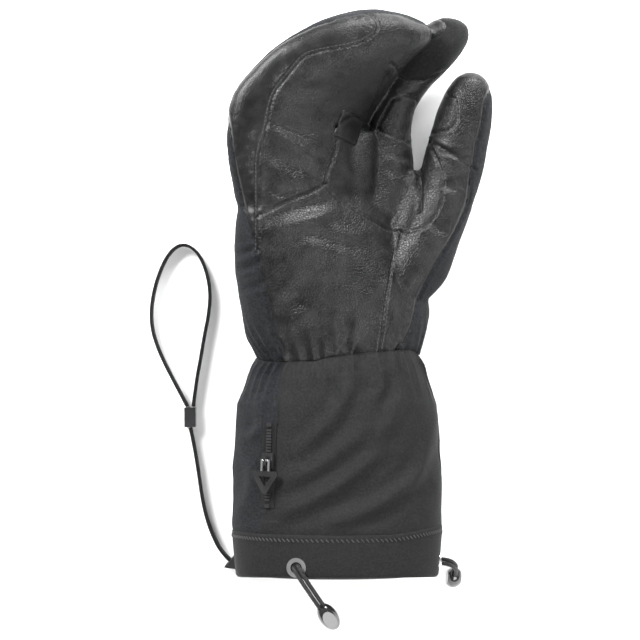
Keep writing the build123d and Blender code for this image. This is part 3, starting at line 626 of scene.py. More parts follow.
def toLine(points, x, y):
    # distance to a line, its sign by side, how far along the line, and the step to it
    best = np.full(len(x), 1e9)
    side = np.zeros(len(x))
    along = np.zeros(len(x))
    step = np.zeros((len(x), 2))
    run = 0.0
    for p, q in zip(points[:-1], points[1:]):
        d = q - p
        size = np.linalg.norm(d)
        if size < 1e-6:
            continue
        t = np.clip(((x - p[0]) * d[0] + (y - p[1]) * d[1]) / size ** 2, 0, 1)
        near = np.stack([p[0] + d[0] * t - x, p[1] + d[1] * t - y], 1)
        gap = np.hypot(near[:, 0], near[:, 1])
        closer = gap < best
        best = np.where(closer, gap, best)
        turn = d[0] * (y - p[1]) - d[1] * (x - p[0])
        side = np.where(closer, np.sign(turn), side)
        along = np.where(closer, run + t * size, along)
        step[closer] = near[closer]
        run += size
    return best, side, along, step


def tubePlaces(co):
    # which tube each point belongs to, and its height over that tube's middle plane
    best = np.full(len(co), 1e9)
    owner = np.zeros(len(co), int)
    share = np.zeros(len(co))
    height = np.zeros(len(co))
    across = np.zeros(len(co))
    up = np.zeros((len(co), 3))
    for number, rows in enumerate(handSkin.values()):
        stations = frames(rows, 3.0)
        centres = np.array([s[0] for s in stations])
        near = np.empty(len(co), int)
        for i in range(0, len(co), 20000):
            part = co[i:i + 20000]
            near[i:i + 20000] = ((part[:, None, :] - centres) ** 2).sum(2).argmin(1)
        w = np.array([s[1] for s in stations])[near]
        n = np.array([s[2] for s in stations])[near]
        f = np.array([s[3] for s in stations])[near]
        a = np.array([s[4] for s in stations])[near]
        b = np.array([s[5] for s in stations])[near]
        off = co - centres[near]
        u, v, t = (off * w).sum(1), (off * n).sum(1), (off * f).sum(1)
        reach = np.sqrt((u / a) ** 2 + (v / b) ** 2 + (t / 12) ** 2)
        closer = reach < best
        best = np.where(closer, reach, best)
        owner = np.where(closer, number, owner)
        share = np.where(closer, v / b, share)
        height = np.where(closer, v - sideSeam * b, height)
        across = np.where(closer, u / a, across)
        up[closer] = n[closer]
    return owner, share, height, across, up


sideSeam = -0.25  # where back and palm meet, as a share of half the thickness
tubeNumber = {name: i for i, name in enumerate(handSkin)}
hinges = {  # centre, direction along the finger, blend reach, cut before the hinge, all in mm
    "mittTip": ((-25.4, 279.1, 20.1), (0.30, 0.93, 0.20), 12, 20),
    "indexTip": ((36, 288, -13), (0.5, 0.84, 0.0), 9, 22),
    "thumbBase": ((58, 212.6, -8.1), (0.35, 0.93, 0.0), 9, 10),
    "thumbTip": ((70, 251.6, -8.4), (0.2, 0.98, 0.0), 9, 17),
}


def past(part, co):
    centre, way, _, cutAt = hinges[part]
    return (co - np.array(centre)) @ unit(way) + cutAt


def segmentOf(co, owner, palm):
    x, y = co[:, 0], co[:, 1]
    knuckle = np.vstack([[(-120, 214.2)], lineOf["crease"], lineOf["crotchLow"][:22]])
    rise = np.interp(x, knuckle[:, 0], knuckle[:, 1])
    limit = np.where(palm, rise, 214 + 0.06 * (x + 60))
    out = np.where(y < limit, "hand", "base").astype("U9")
    fingers = y >= limit
    out[fingers & (owner == tubeNumber["mitt"]) & (past("mittTip", co) > 0)] = "mittTip"
    tip = (owner == tubeNumber["index"]) & (y > 267.6 - 0.41 * (x - 27))
    out[fingers & tip] = "indexTip"
    thumb = owner == tubeNumber["thumb"]
    out[thumb] = "hand"
    out[thumb & (past("thumbBase", co) > 0)] = "thumbBase"
    out[thumb & (past("thumbTip", co) > 0)] = "thumbTip"
    return out


def panelOf(co, owner, palm, segment):
    x, y = co[:, 0], co[:, 1]
    mitt = owner == tubeNumber["mitt"]
    thumb = owner == tubeNumber["thumb"]
    index = owner == tubeNumber["index"]
    out = np.full(len(co), "palm", dtype="U12")
    out[(segment == "hand") & inside("thenar", x, y)] = "thenar"
    out[mitt & (segment != "hand")] = "mitt"
    out[(segment == "base") & ~mitt] = "crotch"
    out[segment == "indexTip"] = "finger"
    out[index & (segment == "indexTip") & inside("pad", x, y)] = "pad"
    out[index & (segment == "indexTip") & inside("cap", x, y)] = "cap"
    out[index & (segment == "indexTip") & inside("inlay", x, y)] = "inlay"
    out[thumb & (segment != "hand")] = "thumb"
    out[inside("crotch", x, y) & (segment != "hand") & (segment != "indexTip")
        & (segment != "mittTip")] = "crotch"
    out[thumb & inside("thumbPatch", x, y) & (segment == "thumbTip")] = "patch"
    out[inside("strip", x, y) & ~thumb & ~index] = "strip"
    out[inside("softSide", x, y) & ~thumb & ~index] = "shell"
    out[inside("shellRight", x, y) & ~index & ~mitt] = "shell"
    out[~palm] = "shell"
    return out


def wave(co, size, seed):
    return np.array([noise.noise(Vector((p[0] / size + seed, p[1] / size, p[2] / size)))
                     for p in co])


folds = [  # soft creases: two ends, depth, half width
    ((-44, 189), (-60, 184), 1.2, 1.6), ((-46, 197), (-62, 193), 1.1, 1.6),
    ((-40, 178), (-58, 172), 0.9, 1.8), ((-28, 226), (-44, 232), 0.8, 2.2),
    ((-14, 262), (-40, 268), 0.7, 3.0), ((-6, 286), (-34, 290), 0.6, 3.0),
    ((6, 152), (-28, 168), 0.7, 3.0), ((18, 196), (-22, 206), 0.9, 3.0),
    ((40, 168), (30, 190), 0.7, 2.6), ((66, 206), (52, 214), 0.9, 2.2),
    ((76, 232), (62, 236), 0.9, 2.0), ((26, 246), (44, 242), 0.8, 2.4),
    ((30, 256), (46, 252), 0.9, 2.0), ((58, 258), (78, 252), 0.7, 1.6),
    ((36, 292), (50, 288), 0.8, 1.6), ((-42, 205), (2, 220), -1.5, 4.0),
    ((-41, 266), (-8, 244), -1.3, 3.2), ((-44, 246), (-16, 231), -1.0, 3.0),
    ((-48, 268), (-46, 226), -0.8, 3.0), ((-36, 150), (-14, 162), -1.1, 4.0),
    ((-38, 168), (-22, 186), -0.8, 4.0), ((0, 140), (-4, 158), -1.2, 3.5),
    ((26, 142), (34, 172), -0.9, 3.0), ((72, 222), (62, 196), -1.0, 3.5),
]
wrist = {"gathers": 34, "height": 1.15, "reach": 6.0, "y": 133.0}


def wristShift(x, z):
    # the cuff seam runs a little higher on the thumb side
    front = np.clip(z / 12, 0, 1)
    return np.interp(x, [-60, -14, -6, 16, 60], [-2.0, -2.0, 0.5, 4.0, 5.0]) * front


def gatherWave(angle):
    # uneven puckers of the elastic: sharp valleys, round crests
    phase = wrist["gathers"] * angle + 2.4 * np.sin(3 * angle) + 1.5 * np.sin(7 * angle + 1)
    strength = 0.75 + 0.35 * np.sin(5 * angle + 2) + 0.2 * np.sin(11 * angle)
    return (1.0 - 2.0 * np.abs(np.sin(phase / 2)) ** 0.8) * strength


def dressSkin(obj):
    # seams, puckers, creases and gathers pressed into the skin
    mesh = obj.data
    co, nor = coords(mesh) / mm, normals(mesh)
    _, share, height, across, up = tubePlaces(co)
    palm = share > sideSeam
    facing = palm & (nor[:, 2] > 0.05)
    x, y = co[:, 0].copy(), co[:, 1].copy()
    move = np.zeros(len(co))
    broad = wave(co, 22.0, 3.0)
    mid = wave(co, 9.0, 11.0)
    for name, (deep, wide, pucker, _) in seams.items():
        line = lineOf[name]
        low, high = line.min(0) - 9, line.max(0) + 9
        near = facing & (x > low[0]) & (x < high[0]) & (y > low[1]) & (y < high[1])
        index = np.nonzero(near)[0]
        gap, _, along, step = toLine(line, x[index], y[index])
        lip = 0.22 * abs(deep) * np.exp(-((gap - 2.6 * wide) / wide) ** 2)
        if deep > 3:
            lip = 0
        wobble = pucker * np.cos(along * 1.15 + 3 * mid[index]) * np.exp(-((gap - 3.0) / 2.6) ** 2)
        move[index] += -deep * np.exp(-(gap / wide) ** 2) + lip + wobble
        snap = index[gap < 0.5]
        if name in ("thumbCross", "fingerSlit", "thumbSlit"):
            continue
        to = step[gap < 0.5]
        co[snap, 0] += to[:, 0]
        co[snap, 1] += to[:, 1]
        steep = np.maximum(nor[snap, 2], 0.3)
        co[snap, 2] -= (nor[snap, 0] * to[:, 0] + nor[snap, 1] * to[:, 1]) / steep
    edge = abs(across) > 0.7
    move[edge] -= 0.8 * np.exp(-(height[edge] / 1.1) ** 2)
    snap = edge & (abs(height) < 0.5)
    co[snap] -= up[snap] * height[snap, None]
    for (ax, ay), (bx, by), deep, wide in folds:
        line = smoothLine([(ax, ay), ((ax + bx) / 2 + 1, (ay + by) / 2 - 1.5), (bx, by)], 2.0)
        gap, _, along, _ = toLine(line, x, y)
        ends = np.sin(np.clip(along / max(along.max(), 1e-6), 0, 1) * math.pi) ** 0.7
        move[facing] -= (deep * np.exp(-(gap / wide) ** 2) * ends)[facing]
        move[facing] += (0.5 * deep * np.exp(-((gap - 2.2 * wide) / wide) ** 2) * ends)[facing]
    angle = np.arctan2(co[:, 2] / 27, co[:, 0] / 50)
    reach = np.exp(-((y - wrist["y"]) / wrist["reach"]) ** 2)
    reach += 0.45 * np.exp(-((y - wrist["y"] - 10) / 10) ** 2)
    move += wrist["height"] * gatherWave(angle) * reach
    move -= 1.5 * np.exp(-((y - 130 - wristShift(x, co[:, 2])) / 2.4) ** 2)
    move += 0.7 * broad + 0.25 * mid
    back = ~facing
    move[back] -= 0.6 * np.exp(-((y[back] - 222) / 1.2) ** 2)
    setCoords(mesh, (co + nor * move[:, None]) * mm)
    print("skin dressed")


def faceTable(mesh):
    sizes = np.empty(len(mesh.polygons), int)
    mesh.polygons.foreach_get("loop_total", sizes)
    corners = np.empty(len(mesh.loops), int)
    mesh.loops.foreach_get("vertex_index", corners)
    starts = np.concatenate([[0], np.cumsum(sizes)[:-1]])
    return [tuple(corners[s:s + k]) for s, k in zip(starts.tolist(), sizes.tolist())]


def tidyLabels(faces, labels, smallest=70):
    # islands too small to be a panel join the panel around them
    edges = {}
    for i, face in enumerate(faces):
        for a, b in zip(face, face[1:] + face[:1]):
            edges.setdefault((a, b) if a < b else (b, a), []).append(i)
    beside = [[] for _ in faces]
    for pair in edges.values():
        if len(pair) == 2:
            beside[pair[0]].append(pair[1])
            beside[pair[1]].append(pair[0])
    labels = list(labels)
    for _ in range(2):
        seen = [False] * len(faces)
        for start in range(len(faces)):
            if seen[start]:
                continue
            seen[start] = True
            group, rim = [start], {}
            for i in group:
                for j in beside[i]:
                    if labels[j] == labels[start]:
                        if not seen[j]:
                            seen[j] = True
                            group.append(j)
                    else:
                        rim[labels[j]] = rim.get(labels[j], 0) + 1
            if len(group) < smallest and rim:
                best = max(sorted(rim), key=rim.get)
                for i in group:
                    labels[i] = best
    return np.array(labels)


def panelPiece(name, faces, co, nor, thick, material):
    # one panel of the skin as a closed sheet: outer face, inner face and rim
    used = sorted({v for face in faces for v in face})
    place = {v: i for i, v in enumerate(used)}
    count = len(used)
    outer = co[used]
    inner = outer - nor[used] * thick * mm
    mine = [tuple(place[v] for v in face) for face in faces]
    sheet = mine + [tuple(v + count for v in reversed(face)) for face in mine]
    openEdges = {}
    for face in mine:
        for a, b in zip(face, face[1:] + face[:1]):
            openEdges[(a, b)] = True
    for a, b in openEdges:
        if (b, a) not in openEdges:
            sheet.append((b, a, a + count, b + count))
    obj = meshObject(name, np.vstack([outer, inner]), sheet)
    both = np.vstack([nor[used], -nor[used]])
    obj.data.normals_split_custom_set_from_vertices([tuple(v) for v in both])
    obj.data.materials.append(materials[material])
    return obj


def moveWith(obj):
    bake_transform(obj)
    return obj


panelLook = {"palm": ("blackLeather", 1.3), "thenar": ("blackLeather", 1.3),
             "mitt": ("blackLeather", 1.3), "crotch": ("coarseLeather", 1.5),
             "strip": ("smoothLeather", 1.3), "finger": ("blackLeather", 1.3),
             "pad": ("coarseLeather", 1.5), "cap": ("gripWeave", 1.2),
             "inlay": ("smoothLeather", 1.2), "thumb": ("blackLeather", 1.3),
             "patch": ("coarseLeather", 1.5), "shell": ("charcoalSoftshell", 1.4)}
stands = {  # panel piece -> the CAD nodes it stands for
    "hand.palm": ["palm_leather", "hand_padding"], "hand.thenar": ["thenar_leather"],
    "hand.shell": ["hand_back_panel", "hand_side_panel"],
    "base.crotch": ["crotch_patch", "index_base_palm", "finger_gusset"],
    "base.mitt": ["mitt_base_palm"], "base.strip": ["mitt_base_strip"],
    "base.shell": ["mitt_base_back", "index_base_back"],
    "mittTip.mitt": ["mitt_tip_palm"], "mittTip.strip": ["mitt_tip_strip"],
    "mittTip.shell": ["mitt_tip_back"], "indexTip.finger": ["index_tip_palm"],
    "indexTip.pad": ["knuckle_pad"], "indexTip.cap": ["index_tip_cap"],
    "indexTip.shell": ["index_tip_back"], "thumbBase.thumb": ["thumb_base_palm"],
    "thumbBase.shell": ["thumb_base_back"], "thumbTip.thumb": ["thumb_tip_palm"],
    "thumbTip.shell": ["thumb_tip_back"], "thumbTip.patch": ["thumb_patch"],
}
pieceNames = {"hand": "hand", "base": "knuckles", "mittTip": "pocketTip",
              "indexTip": "forefingerTip", "thumbBase": "thumbBase", "thumbTip": "thumbTip"}
skinStart = 121.5  # the skin below this height is inside the gauntlet


def makePanels(master):
    mesh = master.data
    co, nor = coords(mesh), normals(mesh)
    faces = faceTable(mesh)
    middle = np.array([co[list(face)].mean(0) for face in faces]) / mm
    owner, share, _, _, _ = tubePlaces(middle)
    palm = share > sideSeam
    segment = segmentOf(middle, owner, palm)
    panel = panelOf(middle, owner, palm, segment)
    labels = np.char.add(np.char.add(segment, "."), panel)
    labels[middle[:, 1] < skinStart] = "drop"
    labels = tidyLabels(faces, labels)
    groupsOf = {}
    for face, label in zip(faces, labels):
        groupsOf.setdefault(str(label), []).append(face)
    for label in sorted(groupsOf):
        if label == "drop":
            continue
        part, kind = label.split(".")
        material, thick = panelLook[kind]
        obj = panelPiece(pieceNames[part] + "." + kind, groupsOf[label], co, nor, thick, material)
        moveWith(obj)
        if label in stands:
            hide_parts(*stands[label])
        print("panel", label, len(groupsOf[label]), "faces")
    return BVHTree.FromPolygons([tuple(v) for v in co], faces)


stitch = {"length": 1.7, "pitch": 2.3, "radius": 0.24, "sink": 0.08}


def capsule(centre, along, out, length, radius):
    # a thread lying on the cloth: rounded ends, flattened underneath
    across = np.cross(out, along)
    verts, faces = [], []
    stations = [(-0.5, 0.3), (-0.42, 0.75), (-0.2, 1.0), (0.2, 1.0), (0.42, 0.75), (0.5, 0.3)]
    sides = 6
    for s, r in stations:
        for k in range(sides):
            t = 2 * math.pi * k / sides
            lift = math.sin(t) * radius * r
            verts.append(centre + along * s * length + across * math.cos(t) * radius * r
                         + out * (lift if lift > 0 else lift * 0.5))
    for i in range(len(stations) - 1):
        for k in range(sides):
            j = (k + 1) % sides
            faces.append((i * sides + k, i * sides + j, (i + 1) * sides + j, (i + 1) * sides + k))
    faces.append(tuple(reversed(range(sides))))
    faces.append(tuple(range((len(stations) - 1) * sides, len(stations) * sides)))
    return verts, faces


def makeStitches(bvh):
    rows = {}
    for name, (_, _, _, offsets) in seams.items():
        line = lineOf[name]
        for offset in offsets:
            way = np.gradient(line, axis=0)
            way /= np.linalg.norm(way, axis=1, keepdims=True) + 1e-9
            aside = line + np.stack([way[:, 1], -way[:, 0]], 1) * offset
            rows[f"{name}{offset:g}"] = aside
    sets = {}
    for name, line in sorted(rows.items()):
        run = np.concatenate([[0], np.cumsum(np.linalg.norm(np.diff(line, axis=0), axis=1))])
        for at in np.arange(1.5, run[-1] - 1.5, stitch["pitch"]):
            p = np.array([np.interp(at, run, line[:, i]) for i in (0, 1)])
            q = np.array([np.interp(at + 0.5, run, line[:, i]) for i in (0, 1)])
            hit, normal, _, _ = bvh.ray_cast(Vector((*(p * mm), 0.2)), Vector((0, 0, -1)))
            if hit is None or normal.z < 0.25 or p[1] < 124:
                continue
            out = np.array(normal)
            way = np.array([*(q - p), 0.0])
            along = unit(way - out * way.dot(out))
            spot = np.array([hit]) / mm
            owner, share, _, _, _ = tubePlaces(spot)
            part = str(segmentOf(spot, owner, share > sideSeam)[0])
            centre = spot[0] - out * stitch["sink"]
            v, f = capsule(centre, along, out, stitch["length"], stitch["radius"])
            verts, faces = sets.setdefault(part, ([], []))
            faces += [tuple(k + len(verts) for k in face) for face in f]
            verts += [tuple(p * mm) for p in v]
    for part, (verts, faces) in sorted(sets.items()):
        obj = meshObject(pieceNames[part] + ".stitching", verts, faces)
        obj.data.materials.append(materials["threadGrey"])
        moveWith(obj)
    print("stitching on", len(sets), "parts")


# the gauntlet: an oval tube with gathers at the wrist and soft diagonal folds
cuff = {"length": 130.0, "halfWidth": 62.0, "halfHeight": 31.5, "hem": 28.0,
        "shares": [(0.0, 0.0, 0.975, 1.0), (0.22, 0.0, 1.015, 1.0), (0.50, 0.0, 1.01, 1.0),
                   (0.80, 0.0, 0.965, 0.985), (0.93, 0.5, 0.87, 0.93)],
        "wrist": (1.0, 50.0, 27.0)}
drapes = [  # ends on the front, height, half width
    ((-40, 37), (30, 82), 2.6, 4.6), ((-34, 56), (26, 98), 1.7, 5.0),
    ((-6, 34), (52, 66), 2.2, 4.2), ((-26, 74), (12, 122), 1.6, 4.0),
    ((18, 78), (40, 118), 1.5, 4.0), ((-50, 80), (-46, 112), 1.2, 3.0),
    ((-58, 36), (-50, 74), 1.2, 4.0), ((40, 50), (58, 100), 1.3, 4.0),
    ((4, 104), (2, 122), 1.2, 3.0), ((20, 106), (26, 124), 1.2, 3.0),
    ((-58, 84), (-40, 98), 1.4, 3.0),
]


def cuffRing(y, angle, lift=0.0):
    ys = [s[0] * cuff["length"] for s in cuff["shares"]] + [cuff["length"]]
    zs = [s[1] for s in cuff["shares"]] + [cuff["wrist"][0]]
    a = [s[2] * cuff["halfWidth"] for s in cuff["shares"]] + [cuff["wrist"][1]]
    b = [s[3] * cuff["halfHeight"] for s in cuff["shares"]] + [cuff["wrist"][2]]
    across, tall = np.interp(y, ys, a), np.interp(y, ys, b)
    mid = np.interp(y, ys, zs)
    out = np.stack([np.cos(angle) / across, np.sin(angle) / tall], -1)
    out /= np.linalg.norm(out, axis=-1, keepdims=True)
    x = across * np.cos(angle) + out[..., 0] * lift
    z = mid + tall * np.sin(angle) + out[..., 1] * lift
    return np.stack([x, np.broadcast_to(y, x.shape), z], -1)


cuffGrid = {"around": 360, "from": 24.0, "to": 132.01, "step": 0.9, "thick": 1.5}


def makeGauntlet():
    around = cuffGrid["around"]
    rows = np.arange(cuffGrid["from"], cuffGrid["to"], cuffGrid["step"])
    angle = np.linspace(0, 2 * math.pi, around, endpoint=False)
    yy, aa = np.meshgrid(rows, angle, indexing="ij")
    base = cuffRing(yy, aa)
    x, y = base[..., 0].ravel(), base[..., 1].ravel()
    front = (np.sin(aa) > 0.12).ravel()
    lift = np.zeros(len(x))
    quiet = 1 - np.exp(-((x + 40.5) / 7) ** 2) * front * (y > 36) * (y < 98)
    for (ax, ay), (bx, by), high, wide in drapes:
        bend = smoothLine([(ax, ay), ((ax + bx) / 2 + 2, (ay + by) / 2 - 3), (bx, by)], 3.0)
        gap, _, along, _ = toLine(bend, x, y)
        ends = np.sin(np.clip(along / along.max(), 0, 1) * math.pi) ** 0.6
        lift += np.where(front, (high * np.exp(-(gap / wide) ** 2)
                                 - 0.5 * high * np.exp(-((gap - 2 * wide) / wide) ** 2)) * ends, 0)
    flat = base.reshape(-1, 3)
    lift += 0.9 * wave(flat, 26.0, 5.0) + 0.3 * wave(flat, 9.0, 8.0)
    hemGap = np.clip((y - cuff["hem"]) / 8, 0, 1)
    lift *= quiet * (0.25 + 0.75 * hemGap)
    gathers = np.exp(-((y - 127) / 7) ** 2) + 0.4 * np.exp(-((y - 115) / 8) ** 2)
    lift += (wrist["height"] + 0.2) * gatherWave(aa.ravel()) * gathers * quiet
    lift -= 1.0 * np.exp(-((y - 131) / 3.0) ** 2)
    lift -= 2.8 * np.exp(-((y - 133) / 1.3) ** 2)
    slide = wristShift(x, base[..., 2].ravel()) * np.clip((y - 96) / 34, 0, 1) ** 2
    lift -= 0.45 * np.exp(-((y - cuff["hem"]) / 2.5) ** 2)
    sideLine = np.interp(y, [27, 85, 100, 118, 140], [-46, -35, -35.4, -34.2, -33])
    lift -= np.where(front & (y > 92), 0.9 * np.exp(-((x - sideLine) / 1.1) ** 2), 0)
    grid = cuffRing(yy, aa, lift.reshape(yy.shape)).reshape(-1, 3)
    grid[:, 1] += slide
    grid *= mm
    faces, labels = [], []
    for i in range(len(rows) - 1):
        for k in range(around):
            j = (k + 1) % around
            c, above = i * around, (i + 1) * around
            faces.append((c + k, above + k, above + j, c + j))
            c += k
            if front[c]:
                labels.append("side" if x[c] < sideLine[c] else "front")
            else:
                labels.append("side" if math.sin(angle[k]) > -0.55 and x[c] < 0 else "back")
    mesh = meshObject("cuffMaster", grid, faces)
    nor = normals(mesh.data)
    bpy.data.objects.remove(mesh)
    looks = {"front": ("greyShell", ["gauntlet_front_panel", "gauntlet_padding"]),
             "side": ("charcoalSoftshell", ["gauntlet_side_panel"]),
             "back": ("greyShell", ["gauntlet_back_panel", "wrist_elastic"])}
    for label, (material, nodes) in looks.items():
        mine = [f for f, l in zip(faces, labels) if l == label]
        obj = panelPiece("gauntlet." + label, mine, grid, nor, cuffGrid["thick"],
                         material)
        moveWith(obj)
        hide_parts(*nodes)
    print("gauntlet", len(grid), "points")


hem = {"profile": [(-0.2, 28.6), (0.15, 28.2), (0.3, 26.5), (0.35, 14.0), (0.3, 4.0), (0.1, 1.6),
                   (-0.9, 0.2), (-2.6, -0.1), (-4.6, 0.3), (-6.0, 1.8), (-6.5, 5.0),
                   (-6.5, 24.0), (-5.6, 24.2), (-5.4, 6.0), (-4.2, 2.8), (-2.4, 2.2),
                   (-1.3, 4.0), (-1.1, 14.0), (-1.1, 28.0)], "around": 300,
       "rise": 3.5, "slope": 3.5}


hemStitch = {"count": 132, "y": 25.4, "lift": 0.4, "length": 2.6, "radius": 0.36, "slant": 1.1}


def hemSlope(p):
    return max(0.0, (p[0] - 34) / 28) * min(1.0, max(0.0, p[2] / 8 + 0.4))


def makeHem():
    angle = np.linspace(0, 2 * math.pi, hem["around"], endpoint=False)
    verts, faces = [], []
    count = len(hem["profile"])
    ripple = 0.35 * np.sin(5 * angle + 0.7) + 0.2 * np.sin(11 * angle)
    for k, a in enumerate(angle):
        for lift, y in hem["profile"]:
            inner = lift < -3
            p = cuffRing(np.array([y]), np.array([a]), lift + (0 if inner else 0.4 * ripple[k]))[0]
            front, low = max(0.0, math.sin(a)), max(0.0, 1 - y / 9)
            p[1] += hem["rise"] * front * low + hem["slope"] * hemSlope(p) * min(1, max(0, y / 24))
            verts.append(tuple(p * mm))
    total = len(angle)
    for k in range(total):
        j = (k + 1) % total
        for i in range(count):
            n = (i + 1) % count
            faces.append((k * count + i, k * count + n, j * count + n, j * count + i))
    obj = meshObject("gauntlet.hem", verts, faces)
    obj.data.materials.append(materials["greyShell"])
    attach(obj, "gauntlet")
    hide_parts("hem_band", "hem_edge_tape", "drawcord")
    # slanted stitches that close the hem, all round
    sv, sf = [], []
    y = np.array([hemStitch["y"]])
    for k in range(hemStitch["count"]):
        a = 2 * math.pi * k / hemStitch["count"]
        p = cuffRing(y, np.array([a]), hemStitch["lift"])[0]
        q = cuffRing(y, np.array([a + 0.01]), hemStitch["lift"])[0]
        p[1] += hem["slope"] * hemSlope(p)
        q[1] += hem["slope"] * hemSlope(q)
        around = unit(q - p)
        out = unit(np.array([p[0] / cuff["halfWidth"] ** 2, 0, p[2] / cuff["halfHeight"] ** 2]))
        along = unit(around + np.array([0, hemStitch["slant"], 0]))
        v, f = capsule(p, along, out, hemStitch["length"], hemStitch["radius"])
        sf += [tuple(n + len(sv) for n in face) for face in f]
        sv += [tuple(c * mm) for c in v]
    thread = meshObject("gauntlet.hemStitching", sv, sf)
    thread.data.materials.append(materials["threadGrey"])
    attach(thread, "gauntlet")
    print("hem and its stitching")


lining = {"ring": 120, "wall": 0.9, "coreRing": 40}


def makeLining():
    # one knitted sock from the cuff to the knuckles, and a core in each finger
    rows = [rolledRow(0, 2, 0, 0, 55.0, 25.0), rolledRow(0, 30, 0, 0, 56.0, 25.0),
            rolledRow(0, 65, 0, 0, 56.0, 25.0), rolledRow(0, 104, 0, 0, 53.5, 24.6),
            rolledRow(0, 121, 0.5, 0, 47.5, 22.8), rolledRow(0, 130, 1, 0, 44, 21),
            rolledRow(-1, 143, 2.5, 6, 49, 22.5), rolledRow(0, 160, 4, 14, 53, 23),
            rolledRow(-5, 182, 6, 22, 53, 22), rolledRow(-10, 204, 8, 30, 50, 18)]
    ring = lining["ring"]
    v, f = tubeMesh(rows, ring=ring)
    count = len(v)
    v2, _ = tubeMesh(rows, ring=ring, shrink=lining["wall"])
    sides = f[:-2]
    faces = list(sides) + [f[-1]]
    faces += [tuple(k + count for k in reversed(face)) for face in sides]
    faces += [tuple(k + count for k in reversed(f[-1]))]
    for k in range(ring):
        j = (k + 1) % ring
        faces.append((j, k, k + count, j + count))
    sock = meshObject("lining.sock", v + v2, faces)
    sock.data.materials.append(materials["knitLining"])
    moveWith(sock)
    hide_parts("gauntlet_lining", "hand_lining")
    # tube, the nodes it stands for, how far it is inside the skin, its first station
    cores = {"mittTip": ("mitt", ["mitt_tip_liner"], 7.0, 3),
             "indexTip": ("index", ["index_tip_liner"], 4.0, 3),
             "thumbTip": ("thumb", ["thumb_tip_liner"], 4.5, 4)}
    for part, (tube, nodes, shrink, first) in cores.items():
        v, f = tubeMesh(handSkin[tube][first:-1], ring=lining["coreRing"], shrink=shrink)
        core = meshObject("lining." + tube, v, f)
        core.data.materials.append(materials["knitLining"])
        moveWith(core)
        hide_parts(*nodes)
    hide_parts("mitt_base_liner", "index_base_liner", "thumb_base_liner")
    print("lining")


tab = {"size": (7.2, 8.0), "turn": -20, "place": (6.9, 267.5), "corner": 0.93, "cells": 12}


def makeTab(bvh):
    # the small sewn tab at the root of the slit
    size, turn, n = tab["size"], math.radians(tab["turn"]), tab["cells"]
    verts, faces = [], []
    for layer in (0, 1):
        for i in range(n + 1):
            for j in range(n + 1):
                u, v = (i / n - 0.5) * 2, (j / n - 0.5) * 2
                corner = tab["corner"] if abs(u) > 0.99 and abs(v) > 0.99 else 1.0
                aside = u * size[0] * math.cos(turn) - v * size[1] * math.sin(turn)
                ahead = u * size[0] * math.sin(turn) + v * size[1] * math.cos(turn)
                px, py = tab["place"][0] + aside * corner, tab["place"][1] + ahead * corner
                above = Vector((px * mm, py * mm, 0.2))
                hit, normal, _, _ = bvh.ray_cast(above, Vector((0, 0, -1)))
                rim = max(abs(u), abs(v))
                lift = (0.9 - 0.55 * max(0, (rim - 0.8) / 0.2) ** 2) if layer == 0 else -0.6
                verts.append(tuple(hit + normal * lift * mm))

    def at(layer, i, j):
        return layer * (n + 1) ** 2 + i * (n + 1) + j

    for i in range(n):
        for j in range(n):
            faces.append((at(0, i, j), at(0, i + 1, j), at(0, i + 1, j + 1), at(0, i, j + 1)))
            faces.append((at(1, i, j), at(1, i, j + 1), at(1, i + 1, j + 1), at(1, i + 1, j)))
    for i in range(n):
        faces.append((at(0, i, 0), at(1, i, 0), at(1, i + 1, 0), at(0, i + 1, 0)))
        faces.append((at(0, i + 1, n), at(1, i + 1, n), at(1, i, n), at(0, i, n)))
        faces.append((at(0, 0, i + 1), at(1, 0, i + 1), at(1, 0, i), at(0, 0, i)))
        faces.append((at(0, n, i), at(1, n, i), at(1, n, i + 1), at(0, n, i + 1)))
    obj = meshObject("knuckles.tab", verts, faces)
    obj.data.materials.append(materials["smoothLeather"])
    moveWith(obj)
    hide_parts("crotch_tab")


cords = {"front": [(-24.7, 10.4, 28.0), (-24.0, 9.2, 31.4), (-21.0, 4.6, 33.0),
                   (-16.5, -2.4, 31.6), (-11.6, -10.0, 28.9), (-7.3, -16.7, 25.2)],
         "side": [(59.0, 9.5, -1.5), (63.5, 9.4, -1.1), (68.6, 8.2, -1.8), (72.0, 5.2, -6.2),
                  (72.4, 2.2, -12.6), (72.0, -1.6, -19.6)],
         "frontBeside": (0.84, 0.54, 0.0), "sideBeside": (0.0, 0.88, -0.47),
         "pitch": 2.7, "diameter": 2.5}
leash = {"tail": [(-65.5, 6.5), (-70.5, 11), (-75.5, 20), (-80, 32), (-83, 46), (-85, 61),
                  (-87.3, 75), (-89.9, 88)],
         "loop": [(-91.8, 101), (-97, 111), (-104, 124), (-110.5, 138), (-114.3, 152),
                  (-113.4, 168), (-109, 184), (-102.5, 196.5), (-94.5, 201.5), (-86, 197),
                  (-80.5, 186), (-77.6, 172), (-78.6, 158), (-81.5, 144), (-83.8, 130),
                  (-86.4, 116), (-88.2, 101)],
         "z": -27.5, "width": 8.0, "thick": 1.8}


def splineObject(name, points, bevel):
    curve = bpy.data.curves.new(name, "CURVE")
    curve.dimensions = "3D"
    spline = curve.splines.new("NURBS")
    spline.points.add(len(points) - 1)
    for target, p in zip(spline.points, points):
        target.co = (p[0] * mm, p[1] * mm, p[2] * mm, 1)
    spline.order_u = 3
    spline.use_endpoint_u = True
    spline.resolution_u = 12
    curve.bevel_depth = bevel
    curve.bevel_resolution = 6
    curve.use_fill_caps = True
    obj = bpy.data.objects.new(name, curve)
    bpy.context.collection.objects.link(obj)
    return obj


